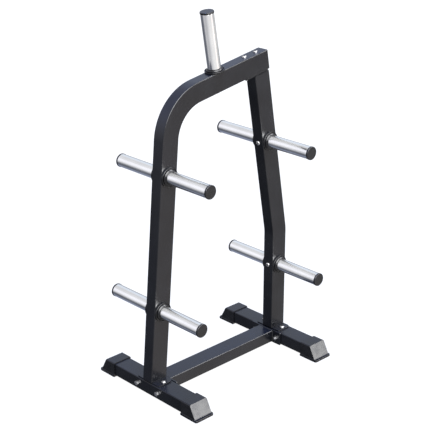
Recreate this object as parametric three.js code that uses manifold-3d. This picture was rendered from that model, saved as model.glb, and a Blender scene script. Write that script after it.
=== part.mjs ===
// Plate tree: a free-standing rack that stores weight plates on nine chrome pegs.
// Millimetres, Z up. X runs along the base beam, from the mast to the post. Y runs along the feet, to the
// back of the rack.
// The origin is on the floor, in the middle of the base.

import * as THREE from 'three';
import { mergeVertices } from 'three/addons/utils/BufferGeometryUtils.js';
import Module from 'manifold-3d';

const wasm = await Module();
wasm.setup();

// Fits: the clearance between pieces that meet, and how far every cut runs past what it cuts
const gap = 0.3;
const overrun = 30;

// Rectangular steel tube of the feet, beam, mast, rail and post
const tubeWide = 75;
const tubeNarrow = 50;
const tubeWall = 3;
const tubeCorner = 5;
const bendRadius = 170;

// Base: two feet and the beam between them, with an end plate welded on each end of the beam
const footSpacing = 650;
const footTubeLength = 460;
const endPlateLength = 160;
const endPlateMargin = 2;
const endPlateThickness = 6;
const ventBore = 12;
const beamBoltSpacing = 114;

// Moulded cap on each end of a foot
const footCapSole = 4.7;
const footCapWall = 4;
const footCapGrip = 39;
const footCapTopRun = 10;
const footCapSlantRun = 27;
const footCapTopRound = 9;
const footCapEdgeRound = 2;
const footCapRib = 3;
const footCapFlangeHeight = 8;
const footCapFlangeSide = 3;
const footCapFlangeEnd = 10;
const footCapFlangeRound = 1;
const footCapFlangeCorner = 8;
const footCapFillet = 8;

// Mast and rail: one tube, which leans in as it rises and bends over into the sloping rail
const mastCornerHeight = 1112;
const mastCornerInset = 87.5;
const railLength = 485;

// Post: upright to its bend, then square to the rail that rests on it
const postBendHeight = 484;
const topPlateThickness = 6;
const topPlateOverhang = 42.5;

// Base plate under the mast and the post
const basePlateLength = 126;
const basePlateThickness = 5;
const basePlateCorner = 4;
const baseBoltSpacing = 100;

// Moulded cap in the end of the rail
const railCapFlange = 3;
const railCapEdge = 1;
const railCapWall = 2;
const railCapDepth = 20;

// Pegs: chrome tubes through the mast and the post, and one that stands on the rail
const lowerPegHeight = 337;
const mastUpperPegHeight = 852;
const postUpperPegHeight = 873;
const pegReach = 240;
const pegDiameter = 50;
const pegWall = 2.5;
const topPegInset = 249;
const topPegReach = 225;
const topPegPlug = 12;

// Moulded cap in each end of a peg
const pegCapHead = 7;
const pegCapRim = 1;
const pegCapEdge = 2;
const pegCapWall = 2;
const pegCapDepth = 18;

// Moulded collar round each peg, where it leaves the tube
const collarLength = 12;
const collarHubWall = 5.2;
const collarFlangeWidth = 6.5;
const collarFlangeThickness = 6;
const collarEdge = 1;

// Bolts, nuts and washers
const boltDiameter = 10;
const boltTail = 3;
const buttonHeadDiameter = 17.5;
const buttonHeadHeight = 5.5;
const buttonHeadRim = 1.2;
const buttonHeadTop = 9.2;
const hexAcrossFlats = 17;
const hexHeadHeight = 6.4;
const nutHeight = 8;
const washerDiameter = 21;
const washerThickness = 2;

// Fineness of the round shapes
const pegSides = 20;
const boltSides = 12;
const hexSides = 6;
const cornerStep = Math.PI / 6;
const boreCornerStep = Math.PI / 4;
const bendStep = Math.PI / 24;

// Heights and radii that follow from the sizes above
const footBottom = footCapSole + gap;
const footMiddle = footBottom + tubeNarrow / 2;
const footTop = footBottom + tubeNarrow;
const basePlateBottom = footTop + gap;
const basePlateTop = basePlateBottom + basePlateThickness;
const pegRadius = pegDiameter / 2;
const pegHoleRadius = pegRadius + gap;
const pegTubeEnd = pegReach - pegCapHead - gap;
const boltRadius = boltDiameter / 2;
const boltHoleRadius = boltRadius + gap;

const finishes = {
  paint: { color: 0x17181b, roughness: 0.32, metalness: 0 },
  plastic: { color: 0x1a1a1c, roughness: 0.5, metalness: 0 },
  chrome: { color: 0xd4d7db, roughness: 0.12, metalness: 1 },
  zinc: { color: 0xb9bbbe, roughness: 0.3, metalness: 1 },
};

/** Stations round the arc that softens a corner of a line, each with its point and its heading. */
function cornerArc(before, corner, after, radius, largestStep) {
  const incoming = corner.clone().sub(before).normalize();
  const outgoing = after.clone().sub(corner).normalize();
  const turn = Math.atan2(incoming.cross(outgoing), incoming.dot(outgoing));
  const reach = radius * Math.tan(Math.abs(turn) / 2);
  const first = corner.clone().addScaledVector(incoming, -reach);
  const towardsCentre = new THREE.Vector2(-incoming.y, incoming.x);
  const centre = first.clone().addScaledVector(towardsCentre, Math.sign(turn) * radius);
  const steps = Math.ceil(Math.abs(turn) / largestStep);
  return Array.from({ length: steps + 1 }, (_, step) => {
    const angle = (turn * step) / steps;
    return {
      point: first.clone().rotateAround(centre, angle),
      heading: incoming.clone().rotateAround(new THREE.Vector2(), angle),
    };
  });
}

/** Outline through corners given as [x, y, radius], with an arc at each corner that has a radius. */
function outline(corners, largestStep = cornerStep) {
  const vectors = corners.map(([x, y]) => new THREE.Vector2(x, y));
  return corners.flatMap(([, , radius = 0], index) => {
    const corner = vectors[index];
    if (radius === 0) {
      return [corner];
    }
    const after = vectors[(index + 1) % vectors.length];
    return cornerArc(vectors.at(index - 1), corner, after, radius, largestStep).map(({ point }) => point);
  });
}

/** Outline of a rectangle with round corners, centred on zero. */
function rectangle(width, height, radius, largestStep) {
  const x = width / 2;
  const y = height / 2;
  return outline([[-x, -y, radius], [x, -y, radius], [x, y, radius], [-x, y, radius]], largestStep);
}

/** Section of a rectangular tube: round outside corners, and a hole that keeps the wall even. */
function tubeSection(width, height) {
  const section = new THREE.Shape(rectangle(width, height, tubeCorner));
  const hole = rectangle(width - 2 * tubeWall, height - 2 * tubeWall, tubeCorner - tubeWall, boreCornerStep);
  section.holes.push(new THREE.Path(hole));
  return section;
}

/** Turns a shape that stands along Z, or a round one that stands along Y, to lie along the named axis. */
const fromZ = {
  x: new THREE.Matrix4().makeBasis(
    new THREE.Vector3(0, 1, 0),
    new THREE.Vector3(0, 0, 1),
    new THREE.Vector3(1, 0, 0),
  ),
  y: new THREE.Matrix4().makeRotationX(Math.PI / 2),
  z: new THREE.Matrix4(),
};
const fromY = {
  x: new THREE.Matrix4().makeRotationZ(-Math.PI / 2),
  y: new THREE.Matrix4(),
  z: new THREE.Matrix4().makeRotationX(Math.PI / 2),
};

/** Extrudes a section along the named axis, centred on zero. */
function extrude(section, length, axis) {
  const shape = Array.isArray(section) ? new THREE.Shape(section) : section;
  const geometry = new THREE.ExtrudeGeometry(shape, { depth: length, bevelEnabled: false });
  return geometry.translate(0, 0, -length / 2).applyMatrix4(fromZ[axis]);
}

/** Round or many-sided rod along the named axis, centred on zero. */
function rod(radius, length, axis, sides) {
  return new THREE.CylinderGeometry(radius, radius, length, sides).applyMatrix4(fromY[axis]);
}

/** Six-sided bar along the named axis, sized across its flats. */
function hexBar(acrossFlats, length, axis) {
  return rod(acrossFlats / 2 / Math.cos(Math.PI / hexSides), length, axis, hexSides);
}

/** Turned piece about Y: its profile runs round the material, up the outside. */
function turned(profile, sides) {
  return new THREE.LatheGeometry(profile.map(([radius, height]) => new THREE.Vector2(radius, height)), sides);
}

/** Turned ring: a profile that closes on itself. */
function turnedRing(profile, sides) {
  return turned([...profile, profile[0]], sides);
}

/** Geometry with shared vertices merged and no triangle without area. */
function welded(geometry) {
  const bare = geometry.clone();
  bare.deleteAttribute('normal');
  bare.deleteAttribute('uv');
  const merged = mergeVertices(bare);
  const corners = merged.index.array;
  const kept = [];
  for (let first = 0; first < corners.length; first += 3) {
    const triangle = [corners[first], corners[first + 1], corners[first + 2]];
    if (new Set(triangle).size === 3) {
      kept.push(...triangle);
    }
  }
  merged.setIndex(kept);
  merged.clearGroups();
  return merged;
}

/** Solid made from a closed geometry, moved by a matrix where one is given. */
function solid(geometry, matrix = new THREE.Matrix4()) {
  const closed = welded(geometry.clone().applyMatrix4(matrix));
  return new wasm.Manifold(
    new wasm.Mesh({
      numProp: 3,
      vertProperties: new Float32Array(closed.attributes.position.array),
      triVerts: new Uint32Array(closed.index.array),
    }),
  );
}

/** Named mesh made from a solid or a geometry, with its own material. */
function piece(name, shape, finish) {
  let geometry = shape;
  if (shape instanceof wasm.Manifold) {
    const { vertProperties, triVerts } = shape.getMesh();
    geometry = new THREE.BufferGeometry();
    geometry.setAttribute('position', new THREE.BufferAttribute(vertProperties, 3));
    geometry.setIndex(new THREE.BufferAttribute(triVerts, 1));
  }
  const mesh = new THREE.Mesh(welded(geometry), new THREE.MeshStandardMaterial(finish));
  mesh.geometry.computeVertexNormals();
  mesh.name = name;
  return mesh;
}

/** Centre line of a tube with one bend, in the XZ plane: a step to each straight run, several to the bend. */
class BentLine extends THREE.Curve {
  constructor(start, corner, end) {
    super();
    const arc = cornerArc(start, corner, end, bendRadius, bendStep);
    const flat = [
      { point: start, heading: arc[0].heading },
      ...arc,
      { point: end, heading: arc.at(-1).heading },
    ];
    this.stations = flat.map(({ point, heading }) => ({
      point: new THREE.Vector3(point.x, 0, point.y),
      heading: new THREE.Vector3(heading.x, 0, heading.y),
    }));
  }

  /** Keeps the stations as the steps of the sweep, instead of equal lengths. */
  getUtoTmapping(share) {
    return share;
  }

  blend(share, part, target) {
    const place = share * (this.stations.length - 1);
    const index = Math.min(Math.floor(place), this.stations.length - 2);
    return target.lerpVectors(this.stations[index][part], this.stations[index + 1][part], place - index);
  }

  getPoint(share, target = new THREE.Vector3()) {
    return this.blend(share, 'point', target);
  }

  getTangent(share, target = new THREE.Vector3()) {
    return this.blend(share, 'heading', target).normalize();
  }

  /** Rectangular tube swept along the line, with its wide side in the plane of the bend. */
  tube() {
    const section = tubeSection(tubeNarrow, tubeWide);
    return new THREE.ExtrudeGeometry(section, { steps: this.stations.length - 1, extrudePath: this });
  }

  /** Place on the line at a height above the floor, with Z turned along the line. */
  frameAt(height) {
    const above = this.stations.findIndex(({ point }) => point.z >= height);
    const low = this.stations[above - 1].point;
    const high = this.stations[above].point;
    const lean = Math.atan2(high.x - low.x, high.z - low.z);
    const point = low.clone().lerp(high, (height - low.z) / (high.z - low.z));
    return new THREE.Matrix4().makeRotationY(lean).setPosition(point);
  }
}

// Centre lines of the mast with its rail, and of the post, whose upper run is square to the rail
const mastFoot = new THREE.Vector2(-footSpacing / 2, basePlateTop);
const mastCorner = new THREE.Vector2(-footSpacing / 2 + mastCornerInset, mastCornerHeight);
const postFoot = new THREE.Vector2(footSpacing / 2, basePlateTop);
const postCorner = new THREE.Vector2(footSpacing / 2, postBendHeight);
const railRunToPost = railLength - tubeWide / 2;
const mastToPost = postCorner.clone().sub(mastCorner);
const railRise = Math.acos(railRunToPost / mastToPost.length()) + Math.atan2(mastToPost.y, mastToPost.x);
const railHeading = new THREE.Vector2(Math.cos(railRise), Math.sin(railRise));
const railUp = new THREE.Vector2(-railHeading.y, railHeading.x);
const railEnd = mastCorner.clone().addScaledVector(railHeading, railLength);
const postTop = mastCorner
  .clone()
  .addScaledVector(railHeading, railRunToPost)
  .addScaledVector(railUp, -(tubeWide / 2 + gap + topPlateThickness / 2));
const mastLean = mastCorner.clone().sub(mastFoot).normalize();
const mastStart = mastFoot.clone().addScaledVector(mastLean, -basePlateThickness);
const postStart = postFoot.clone().setY(basePlateBottom);
const mastLine = new BentLine(mastStart, mastCorner, railEnd);
const postLine = new BentLine(postStart, postCorner, postTop);

// Frame of the rail: zero in the middle of the tube's open end, X outwards along the rail, Z square to it
const railFrame = new THREE.Matrix4()
  .makeRotationY(-railRise)
  .setPosition(new THREE.Vector3(railEnd.x, 0, railEnd.y));
const railBoltPlaces = [-tubeWide / 2, -tubeWide - topPlateOverhang / 2];

/** Bolt with a domed head, along Y: zero is under its head. */
function buttonBolt(length) {
  const shoulder = (buttonHeadDiameter + buttonHeadTop) / 4 + buttonHeadRim / 2;
  const shoulderHeight = (buttonHeadHeight * 2 + buttonHeadRim) / 3;
  return turned(
    [
      [0, -length],
      [boltRadius, -length],
      [boltRadius, 0],
      [buttonHeadDiameter / 2, 0],
      [buttonHeadDiameter / 2, buttonHeadRim],
      [shoulder, shoulderHeight],
      [buttonHeadTop / 2, buttonHeadHeight],
      [0, buttonHeadHeight],
    ],
    boltSides,
  );
}

/** Bolt with a hexagon head, along Y: zero is under its head. */
function hexBolt(length) {
  const head = hexBar(hexAcrossFlats, hexHeadHeight, 'y').translate(0, hexHeadHeight / 2, 0);
  const shank = rod(boltRadius, length + hexHeadHeight / 2, 'y', boltSides);
  shank.translate(0, (hexHeadHeight / 2 - length) / 2, 0);
  return solid(head).add(solid(shank));
}

/** Hexagon nut along Y: it stands on zero. */
function hexNut() {
  const blank = hexBar(hexAcrossFlats, nutHeight, 'y').translate(0, nutHeight / 2, 0);
  const thread = rod(boltHoleRadius, nutHeight + overrun, 'y', boltSides).translate(0, nutHeight / 2, 0);
  return solid(blank).subtract(solid(thread));
}

/** Flat washer along Y: it stands on zero. */
function washer() {
  return turnedRing(
    [
      [boltHoleRadius, 0],
      [washerDiameter / 2, 0],
      [washerDiameter / 2, washerThickness],
      [boltHoleRadius, washerThickness],
    ],
    boltSides,
  );
}

/** Nut blank along Z, welded under a wall whose inner face is at zero: it runs halfway into the wall. */
function weldNut(wall) {
  const height = nutHeight + wall / 2;
  return hexBar(hexAcrossFlats, height, 'z').translate(0, 0, height / 2 - nutHeight);
}

/** Foot tube along Y, centred on zero, with bolt holes for the beam and weld nuts for the base plate. */
function footTube() {
  let tube = solid(extrude(tubeSection(tubeWide, tubeNarrow), footTubeLength, 'y'));
  for (const side of [-1, 1]) {
    const y = (side * baseBoltSpacing) / 2;
    const nut = weldNut(tubeWall).translate(0, y, tubeNarrow / 2 - tubeWall);
    const depth = tubeNarrow / 2 + overrun;
    const upperHalf = rod(boltHoleRadius, depth, 'z', boltSides).translate(0, y, depth / 2);
    const across = rod(boltHoleRadius, tubeWide + overrun, 'x', boltSides);
    across.translate(0, (side * beamBoltSpacing) / 2, 0);
    tube = tube.add(solid(nut)).subtract(solid(upperHalf)).subtract(solid(across));
  }
  return tube;
}

/**
 * Moulded foot cap: a sleeve that closes in a slanted face, on a flared sole. Zero is on the floor, at the
 * end of the foot tube, and Y points away from the tube. The wedge behind the face is cored out between ribs.
 */
function footCap() {
  const side = tubeWide / 2 + gap + footCapWall;
  const flangeSide = side + footCapFlangeSide;
  const top = footTop + gap + footCapWall;
  const faceFoot = footCapTopRun + footCapSlantRun;
  const flangeEnd = faceFoot + footCapFlangeEnd;
  const sideFillet = footCapFlangeSide - footCapFlangeRound;

  const acrossOutline = outline([
    [-flangeSide, 0],
    [flangeSide, 0],
    [flangeSide, footCapFlangeHeight, footCapFlangeRound],
    [side, footCapFlangeHeight, sideFillet],
    [side, top, footCapTopRound],
    [-side, top, footCapTopRound],
    [-side, footCapFlangeHeight, sideFillet],
    [-flangeSide, footCapFlangeHeight, footCapFlangeRound],
  ]);
  const alongOutline = outline([
    [-footCapGrip, 0],
    [flangeEnd, 0],
    [flangeEnd, footCapFlangeHeight, footCapFlangeRound],
    [faceFoot, footCapFlangeHeight, footCapFillet],
    [footCapTopRun, top, footCapEdgeRound],
    [-footCapGrip, top],
  ]);
  const planOutline = outline([
    [-flangeSide, -footCapGrip],
    [flangeSide, -footCapGrip],
    [flangeSide, flangeEnd, footCapFlangeCorner],
    [-flangeSide, flangeEnd, footCapFlangeCorner],
  ]);
  const body = solid(extrude(acrossOutline, (footCapGrip + flangeEnd) * 2, 'y'))
    .intersect(solid(extrude(alongOutline, flangeSide * 2 + overrun, 'x')))
    .intersect(solid(extrude(planOutline, top * 2 + overrun, 'z')));

  const pocketLength = footCapGrip + overrun;
  const pocketOutline = rectangle(tubeWide + 2 * gap, tubeNarrow + 2 * gap, tubeCorner + gap);
  const pocket = extrude(pocketOutline, pocketLength, 'y').translate(0, gap - pocketLength / 2, footMiddle);

  // The core keeps an even wall behind the slanted face, and a ledge for the wall of the tube to stop on
  const faceHeight = top - footCapFlangeHeight;
  const wallRun = footCapWall * Math.hypot(1, footCapSlantRun / faceHeight);
  const coreEnd = (height) => footCapTopRun + (footCapSlantRun * (top - height)) / faceHeight - wallRun;
  const coreBottom = footBottom + tubeWall;
  const coreTop = footTop - tubeWall;
  const coreOutline = outline([
    [-footCapWall, coreBottom],
    [coreEnd(coreBottom), coreBottom],
    [coreEnd(coreTop), coreTop],
    [-footCapWall, coreTop],
  ]);
  const bays = [-1, 0, 1];
  const bayWidth = (tubeWide - 2 * tubeWall - (bays.length - 1) * footCapRib) / bays.length;
  const bayPitch = bayWidth + footCapRib;
  const cores = bays.map((bay) => extrude(coreOutline, bayWidth, 'x').translate(bay * bayPitch, 0, 0));

  return cores.reduce((cap, core) => cap.subtract(solid(core)), body.subtract(solid(pocket)));
}

/** Beam along X, centred on zero: a tube with an end plate welded on each end, vented through the plates. */
function baseBeam() {
  const length = footSpacing - tubeWide - 2 * gap;
  const plateOutline = rectangle(endPlateLength, tubeNarrow + 2 * endPlateMargin, tubeCorner);
  let beam = solid(extrude(tubeSection(tubeWide, tubeNarrow), length - endPlateThickness, 'x'));
  for (const side of [-1, 1]) {
    const plate = extrude(plateOutline, endPlateThickness, 'x');
    beam = beam.add(solid(plate.translate((side * (length - endPlateThickness)) / 2, 0, 0)));
  }
  for (const side of [-1, 1]) {
    const hole = rod(boltHoleRadius, length + overrun, 'x', boltSides);
    beam = beam.subtract(solid(hole.translate(0, (side * beamBoltSpacing) / 2, 0)));
  }
  return beam.subtract(solid(rod(ventBore / 2, length + overrun, 'x', boltSides)));
}

/** Foot of the mast or the post: cuts the tube level with the base plate, adds the plate and drills it. */
function onBasePlate(tube, x) {
  const spoil = new THREE.BoxGeometry(footSpacing, tubeNarrow + overrun, basePlateThickness + overrun);
  spoil.translate(x, 0, basePlateBottom + basePlateThickness / 2 - (basePlateThickness + overrun) / 2);
  const plate = extrude(rectangle(tubeWide, basePlateLength, basePlateCorner), basePlateThickness, 'z');
  plate.translate(x, 0, basePlateBottom + basePlateThickness / 2);
  let foot = tube.subtract(solid(spoil)).add(solid(plate));
  for (const side of [-1, 1]) {
    const hole = rod(boltHoleRadius, basePlateThickness + overrun, 'z', boltSides);
    foot = foot.subtract(solid(hole.translate(x, (side * baseBoltSpacing) / 2, basePlateBottom)));
  }
  return foot;
}

/** Drills a tube for a peg through it and for the bolt that locks the peg, on the side given by inwards. */
function drilledForPeg(tube, frame, inwards) {
  const pegHole = rod(pegHoleRadius, tubeNarrow + overrun, 'y', pegSides);
  const boltReach = tubeWide / 2 + overrun;
  const boltHole = rod(boltHoleRadius, boltReach, 'x', boltSides).translate((inwards * boltReach) / 2, 0, 0);
  return tube.subtract(solid(pegHole, frame)).subtract(solid(boltHole, frame));
}

/** Mast and rail with the base plate, bored for its pegs, the top peg's bolt and the two rail bolts. */
function mastAndRail(pegFrames) {
  let tube = onBasePlate(solid(mastLine.tube()), mastFoot.x);
  for (const frame of pegFrames) {
    tube = drilledForPeg(tube, frame, 1);
  }
  for (const place of [...railBoltPlaces, -topPegInset]) {
    const hole = rod(boltHoleRadius, tubeWide + overrun, 'z', boltSides).translate(place, 0, 0);
    tube = tube.subtract(solid(hole, railFrame));
  }
  return tube;
}

/** Post with its base plate, and a top plate with weld nuts that carries the end of the rail. */
function rightPost(pegFrames) {
  let post = onBasePlate(solid(postLine.tube()), postFoot.x);
  for (const frame of pegFrames) {
    post = drilledForPeg(post, frame, -1);
  }
  const plateLength = tubeWide + topPlateOverhang;
  const plateTop = -tubeWide / 2 - gap;
  const plate = extrude(rectangle(plateLength, tubeNarrow, basePlateCorner), topPlateThickness, 'z');
  plate.translate(-plateLength / 2, 0, plateTop - topPlateThickness / 2);
  post = post.add(solid(plate, railFrame));
  for (const place of railBoltPlaces) {
    const nut = weldNut(topPlateThickness).translate(place, 0, plateTop - topPlateThickness);
    post = post.add(solid(nut, railFrame));
  }
  for (const place of railBoltPlaces) {
    const depth = topPlateThickness + nutHeight + overrun;
    const hole = rod(boltHoleRadius, depth, 'z', boltSides);
    hole.translate(place, 0, plateTop + (overrun - depth) / 2);
    post = post.subtract(solid(hole, railFrame));
  }
  return post;
}

/** Moulded cap in the end of the rail, along X: zero is the end of the tube and the flange lies past it. */
function railEndCap() {
  const flange = new THREE.ExtrudeGeometry(new THREE.Shape(rectangle(tubeWide, tubeNarrow, tubeCorner)), {
    depth: railCapFlange - 2 * railCapEdge,
    bevelThickness: railCapEdge,
    bevelSize: railCapEdge,
    bevelOffset: -railCapEdge,
    bevelSegments: 1,
  });
  const spigotWide = tubeWide - 2 * tubeWall - 2 * gap;
  const spigotNarrow = tubeNarrow - 2 * tubeWall - 2 * gap;
  const spigotCorner = tubeCorner - tubeWall;
  const spigotOutline = rectangle(spigotWide, spigotNarrow, spigotCorner);
  const spigot = extrude(spigotOutline, railCapDepth + railCapFlange, 'z');
  const hollow = extrude(
    rectangle(spigotWide - 2 * railCapWall, spigotNarrow - 2 * railCapWall, spigotCorner),
    railCapDepth + overrun,
    'z',
  );
  return solid(flange.translate(0, 0, railCapEdge))
    .add(solid(spigot.translate(0, 0, (railCapFlange - railCapDepth) / 2 - railCapEdge)))
    .subtract(solid(hollow.translate(0, 0, -(railCapDepth + overrun) / 2)));
}

/** Open tube along Y between two ends. */
function pegTube(from, to) {
  const bore = pegRadius - pegWall;
  return turnedRing([[bore, from], [pegRadius, from], [pegRadius, to], [bore, to]], pegSides);
}

/** Peg through the mast or the post, with a nut welded inside it for the locking bolt, towards +X. */
function throughPeg() {
  const bore = pegRadius - pegWall;
  const nutLength = nutHeight + pegWall;
  const nut = hexBar(hexAcrossFlats, nutLength, 'x').translate(bore - nutHeight + nutLength / 2, 0, 0);
  const fitted = solid(nut).intersect(solid(rod(bore + pegWall / 2, hexAcrossFlats * 2, 'y', pegSides)));
  const depth = pegRadius + overrun;
  const hole = rod(boltHoleRadius, depth, 'x', boltSides).translate(depth / 2, 0, 0);
  return solid(pegTube(-pegTubeEnd, pegTubeEnd)).add(fitted).subtract(solid(hole));
}

/** Peg that stands on the rail, along Y from zero, with a threaded plug welded into its foot. */
function topPeg() {
  const length = topPegReach - pegCapHead - 2 * gap;
  const plug = rod(pegRadius - pegWall / 2, topPegPlug, 'y', pegSides).translate(0, topPegPlug / 2, 0);
  const hole = rod(boltHoleRadius, topPegPlug + overrun, 'y', boltSides);
  return solid(pegTube(0, length)).add(solid(plug)).subtract(solid(hole));
}

/** Moulded peg cap along Y: zero is the end of the peg, with the head past it and the open spigot inside. */
function pegCap() {
  const spigot = pegRadius - pegWall - gap;
  const head = pegRadius + pegCapRim;
  return turned(
    [
      [0, pegCapHead - pegCapWall],
      [spigot - pegCapWall, pegCapHead - pegCapWall],
      [spigot - pegCapWall, -pegCapDepth],
      [spigot, -pegCapDepth],
      [spigot, 0],
      [head, 0],
      [head, pegCapHead - pegCapEdge],
      [head - pegCapEdge, pegCapHead],
      [0, pegCapHead],
    ],
    pegSides,
  );
}

/** Moulded collar along Y: it stands on zero, with its flange at the foot and its hub above. */
function collar() {
  const hub = pegHoleRadius + collarHubWall;
  const flange = hub + collarFlangeWidth;
  return turnedRing(
    [
      [pegHoleRadius, 0],
      [flange, 0],
      [flange, collarFlangeThickness - collarEdge],
      [flange - collarEdge, collarFlangeThickness],
      [hub, collarFlangeThickness],
      [hub, collarLength - collarEdge],
      [hub - collarEdge, collarLength],
      [pegHoleRadius, collarLength],
    ],
    pegSides,
  );
}

/** One foot: its tube, a cap on each end and the bolts of the beam, through the foot into the end plate. */
function foot(name, x, inwards) {
  const group = new THREE.Group();
  group.position.set(x, 0, 0);

  const tube = piece(`${name}_foot_tube`, footTube(), finishes.paint);
  tube.position.z = footMiddle;
  group.add(tube);

  for (const [end, side] of [['front', -1], ['rear', 1]]) {
    const cap = piece(`${name}_foot_${end}_cap`, footCap(), finishes.plastic);
    cap.position.y = (side * footTubeLength) / 2;
    cap.rotation.z = side === 1 ? 0 : Math.PI;
    group.add(cap);

    const grip = washerThickness + gap + tubeWide + gap + endPlateThickness + gap + nutHeight;
    const faces = {
      washer: -tubeWide / 2 - gap - washerThickness,
      bolt: -tubeWide / 2 - 2 * gap - washerThickness,
      nut: tubeWide / 2 + gap + endPlateThickness + gap,
    };
    const fixings = new THREE.Group();
    fixings.position.set(0, (side * beamBoltSpacing) / 2, footMiddle);
    fixings.rotation.z = inwards === 1 ? 0 : Math.PI;
    const bolt = piece(`${name}_${end}_beam_bolt`, hexBolt(grip + boltTail), finishes.zinc);
    bolt.rotation.z = Math.PI / 2;
    bolt.position.x = faces.bolt;
    const disc = piece(`${name}_${end}_beam_washer`, washer(), finishes.zinc);
    disc.rotation.z = -Math.PI / 2;
    disc.position.x = faces.washer;
    const nut = piece(`${name}_${end}_beam_nut`, hexNut(), finishes.zinc);
    nut.rotation.z = -Math.PI / 2;
    nut.position.x = faces.nut;
    fixings.add(bolt, disc, nut);
    group.add(fixings);
  }
  return group;
}

/** The two bolts through the base plate of an upright, into the nuts inside the foot. */
function basePlateBolts(name, x) {
  const group = new THREE.Group();
  group.position.set(x, 0, basePlateTop + gap);
  const length = gap + basePlateThickness + gap + tubeWall + nutHeight + boltTail;
  for (const [end, side] of [['front', -1], ['rear', 1]]) {
    const bolt = piece(`${name}_${end}_base_bolt`, buttonBolt(length), finishes.zinc);
    bolt.rotation.x = Math.PI / 2;
    bolt.position.y = (side * baseBoltSpacing) / 2;
    group.add(bolt);
  }
  return group;
}

/** A peg through an upright, with a collar and a cap at each end and the bolt that locks it. */
function pegSet(name, frame, inwards) {
  const group = new THREE.Group();
  group.applyMatrix4(frame);

  const peg = piece(`${name}_peg`, throughPeg(), finishes.chrome);
  peg.rotation.z = inwards === 1 ? 0 : Math.PI;
  group.add(peg);

  const reach = tubeWide / 2 - pegRadius + pegWall + nutHeight;
  const bolt = piece(`${name}_peg_bolt`, buttonBolt(gap + reach + boltTail), finishes.zinc);
  bolt.position.x = inwards * (tubeWide / 2 + gap);
  bolt.rotation.z = (-inwards * Math.PI) / 2;
  group.add(bolt);

  for (const [end, side] of [['front', -1], ['rear', 1]]) {
    const ring = piece(`${name}_peg_${end}_collar`, collar(), finishes.plastic);
    ring.position.y = side * (tubeNarrow / 2 + gap);
    ring.rotation.x = side === 1 ? 0 : Math.PI;
    const cap = piece(`${name}_peg_${end}_cap`, pegCap(), finishes.plastic);
    cap.position.y = side * (pegTubeEnd + gap);
    cap.rotation.x = side === 1 ? 0 : Math.PI;
    group.add(ring, cap);
  }
  return group;
}

/** What the rail carries: its end cap, the bolts into the post and the top peg with its fixings. */
function railFittings() {
  const group = new THREE.Group();
  group.applyMatrix4(railFrame);
  const railTop = tubeWide / 2;

  const endCap = piece('rail_end_cap', railEndCap(), finishes.plastic);
  endCap.rotation.y = Math.PI / 2;
  endCap.position.x = gap;
  group.add(endCap);

  const railBoltLength = gap + tubeWide + gap + topPlateThickness + nutHeight + boltTail;
  for (const [index, end] of ['outer', 'inner'].entries()) {
    const bolt = piece(`${end}_rail_bolt`, buttonBolt(railBoltLength), finishes.zinc);
    bolt.position.set(railBoltPlaces[index], 0, railTop + gap);
    bolt.rotation.x = Math.PI / 2;
    group.add(bolt);
  }

  const pegGroup = new THREE.Group();
  pegGroup.position.x = -topPegInset;
  pegGroup.rotation.x = Math.PI / 2;
  const peg = piece('top_peg', topPeg(), finishes.chrome);
  peg.position.y = railTop + gap;
  const ring = piece('top_peg_collar', collar(), finishes.plastic);
  ring.position.y = railTop + gap;
  const cap = piece('top_peg_cap', pegCap(), finishes.plastic);
  cap.position.y = railTop + topPegReach - pegCapHead;
  const disc = piece('top_peg_washer', washer(), finishes.zinc);
  disc.position.y = -railTop - gap - washerThickness;
  const boltGrip = gap + washerThickness + gap + tubeWide + gap + topPegPlug;
  const bolt = piece('top_peg_bolt', hexBolt(boltGrip + boltTail), finishes.zinc);
  bolt.rotation.x = Math.PI;
  bolt.position.y = disc.position.y - gap;
  pegGroup.add(peg, ring, cap, disc, bolt);
  group.add(pegGroup);
  return group;
}

/** The whole plate tree. */
function plateTree() {
  const group = new THREE.Group();
  group.add(foot('left', -footSpacing / 2, 1), foot('right', footSpacing / 2, -1));

  const beam = piece('base_beam', baseBeam(), finishes.paint);
  beam.position.z = footMiddle;
  group.add(beam);

  const mastPegs = {
    mast_lower: mastLine.frameAt(lowerPegHeight),
    mast_upper: mastLine.frameAt(mastUpperPegHeight),
  };
  const postPegs = {
    post_lower: postLine.frameAt(lowerPegHeight),
    post_upper: postLine.frameAt(postUpperPegHeight),
  };
  group.add(piece('mast_and_rail', mastAndRail(Object.values(mastPegs)), finishes.paint));
  group.add(piece('right_post', rightPost(Object.values(postPegs)), finishes.paint));
  group.add(basePlateBolts('mast', mastFoot.x), basePlateBolts('post', postFoot.x));
  for (const [name, frame] of Object.entries(mastPegs)) {
    group.add(pegSet(name, frame, 1));
  }
  for (const [name, frame] of Object.entries(postPegs)) {
    group.add(pegSet(name, frame, -1));
  }
  group.add(railFittings());
  return group;
}

export default plateTree();
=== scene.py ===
"""Looks of the plate tree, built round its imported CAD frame.

The rack is a bent steel mast and rail, a post that carries the end of the rail, a bolted base on moulded
caps, and chrome pegs. Lengths are in metres and angles in degrees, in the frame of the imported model: X runs
along the base beam from the mast to the post, Y along the feet to the back, and Z up from the floor.
"""

import logging
import math
from collections.abc import Callable, Sequence
from dataclasses import dataclass, field
from enum import Enum, IntEnum

import bpy
from mathutils import Matrix, Vector

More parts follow.
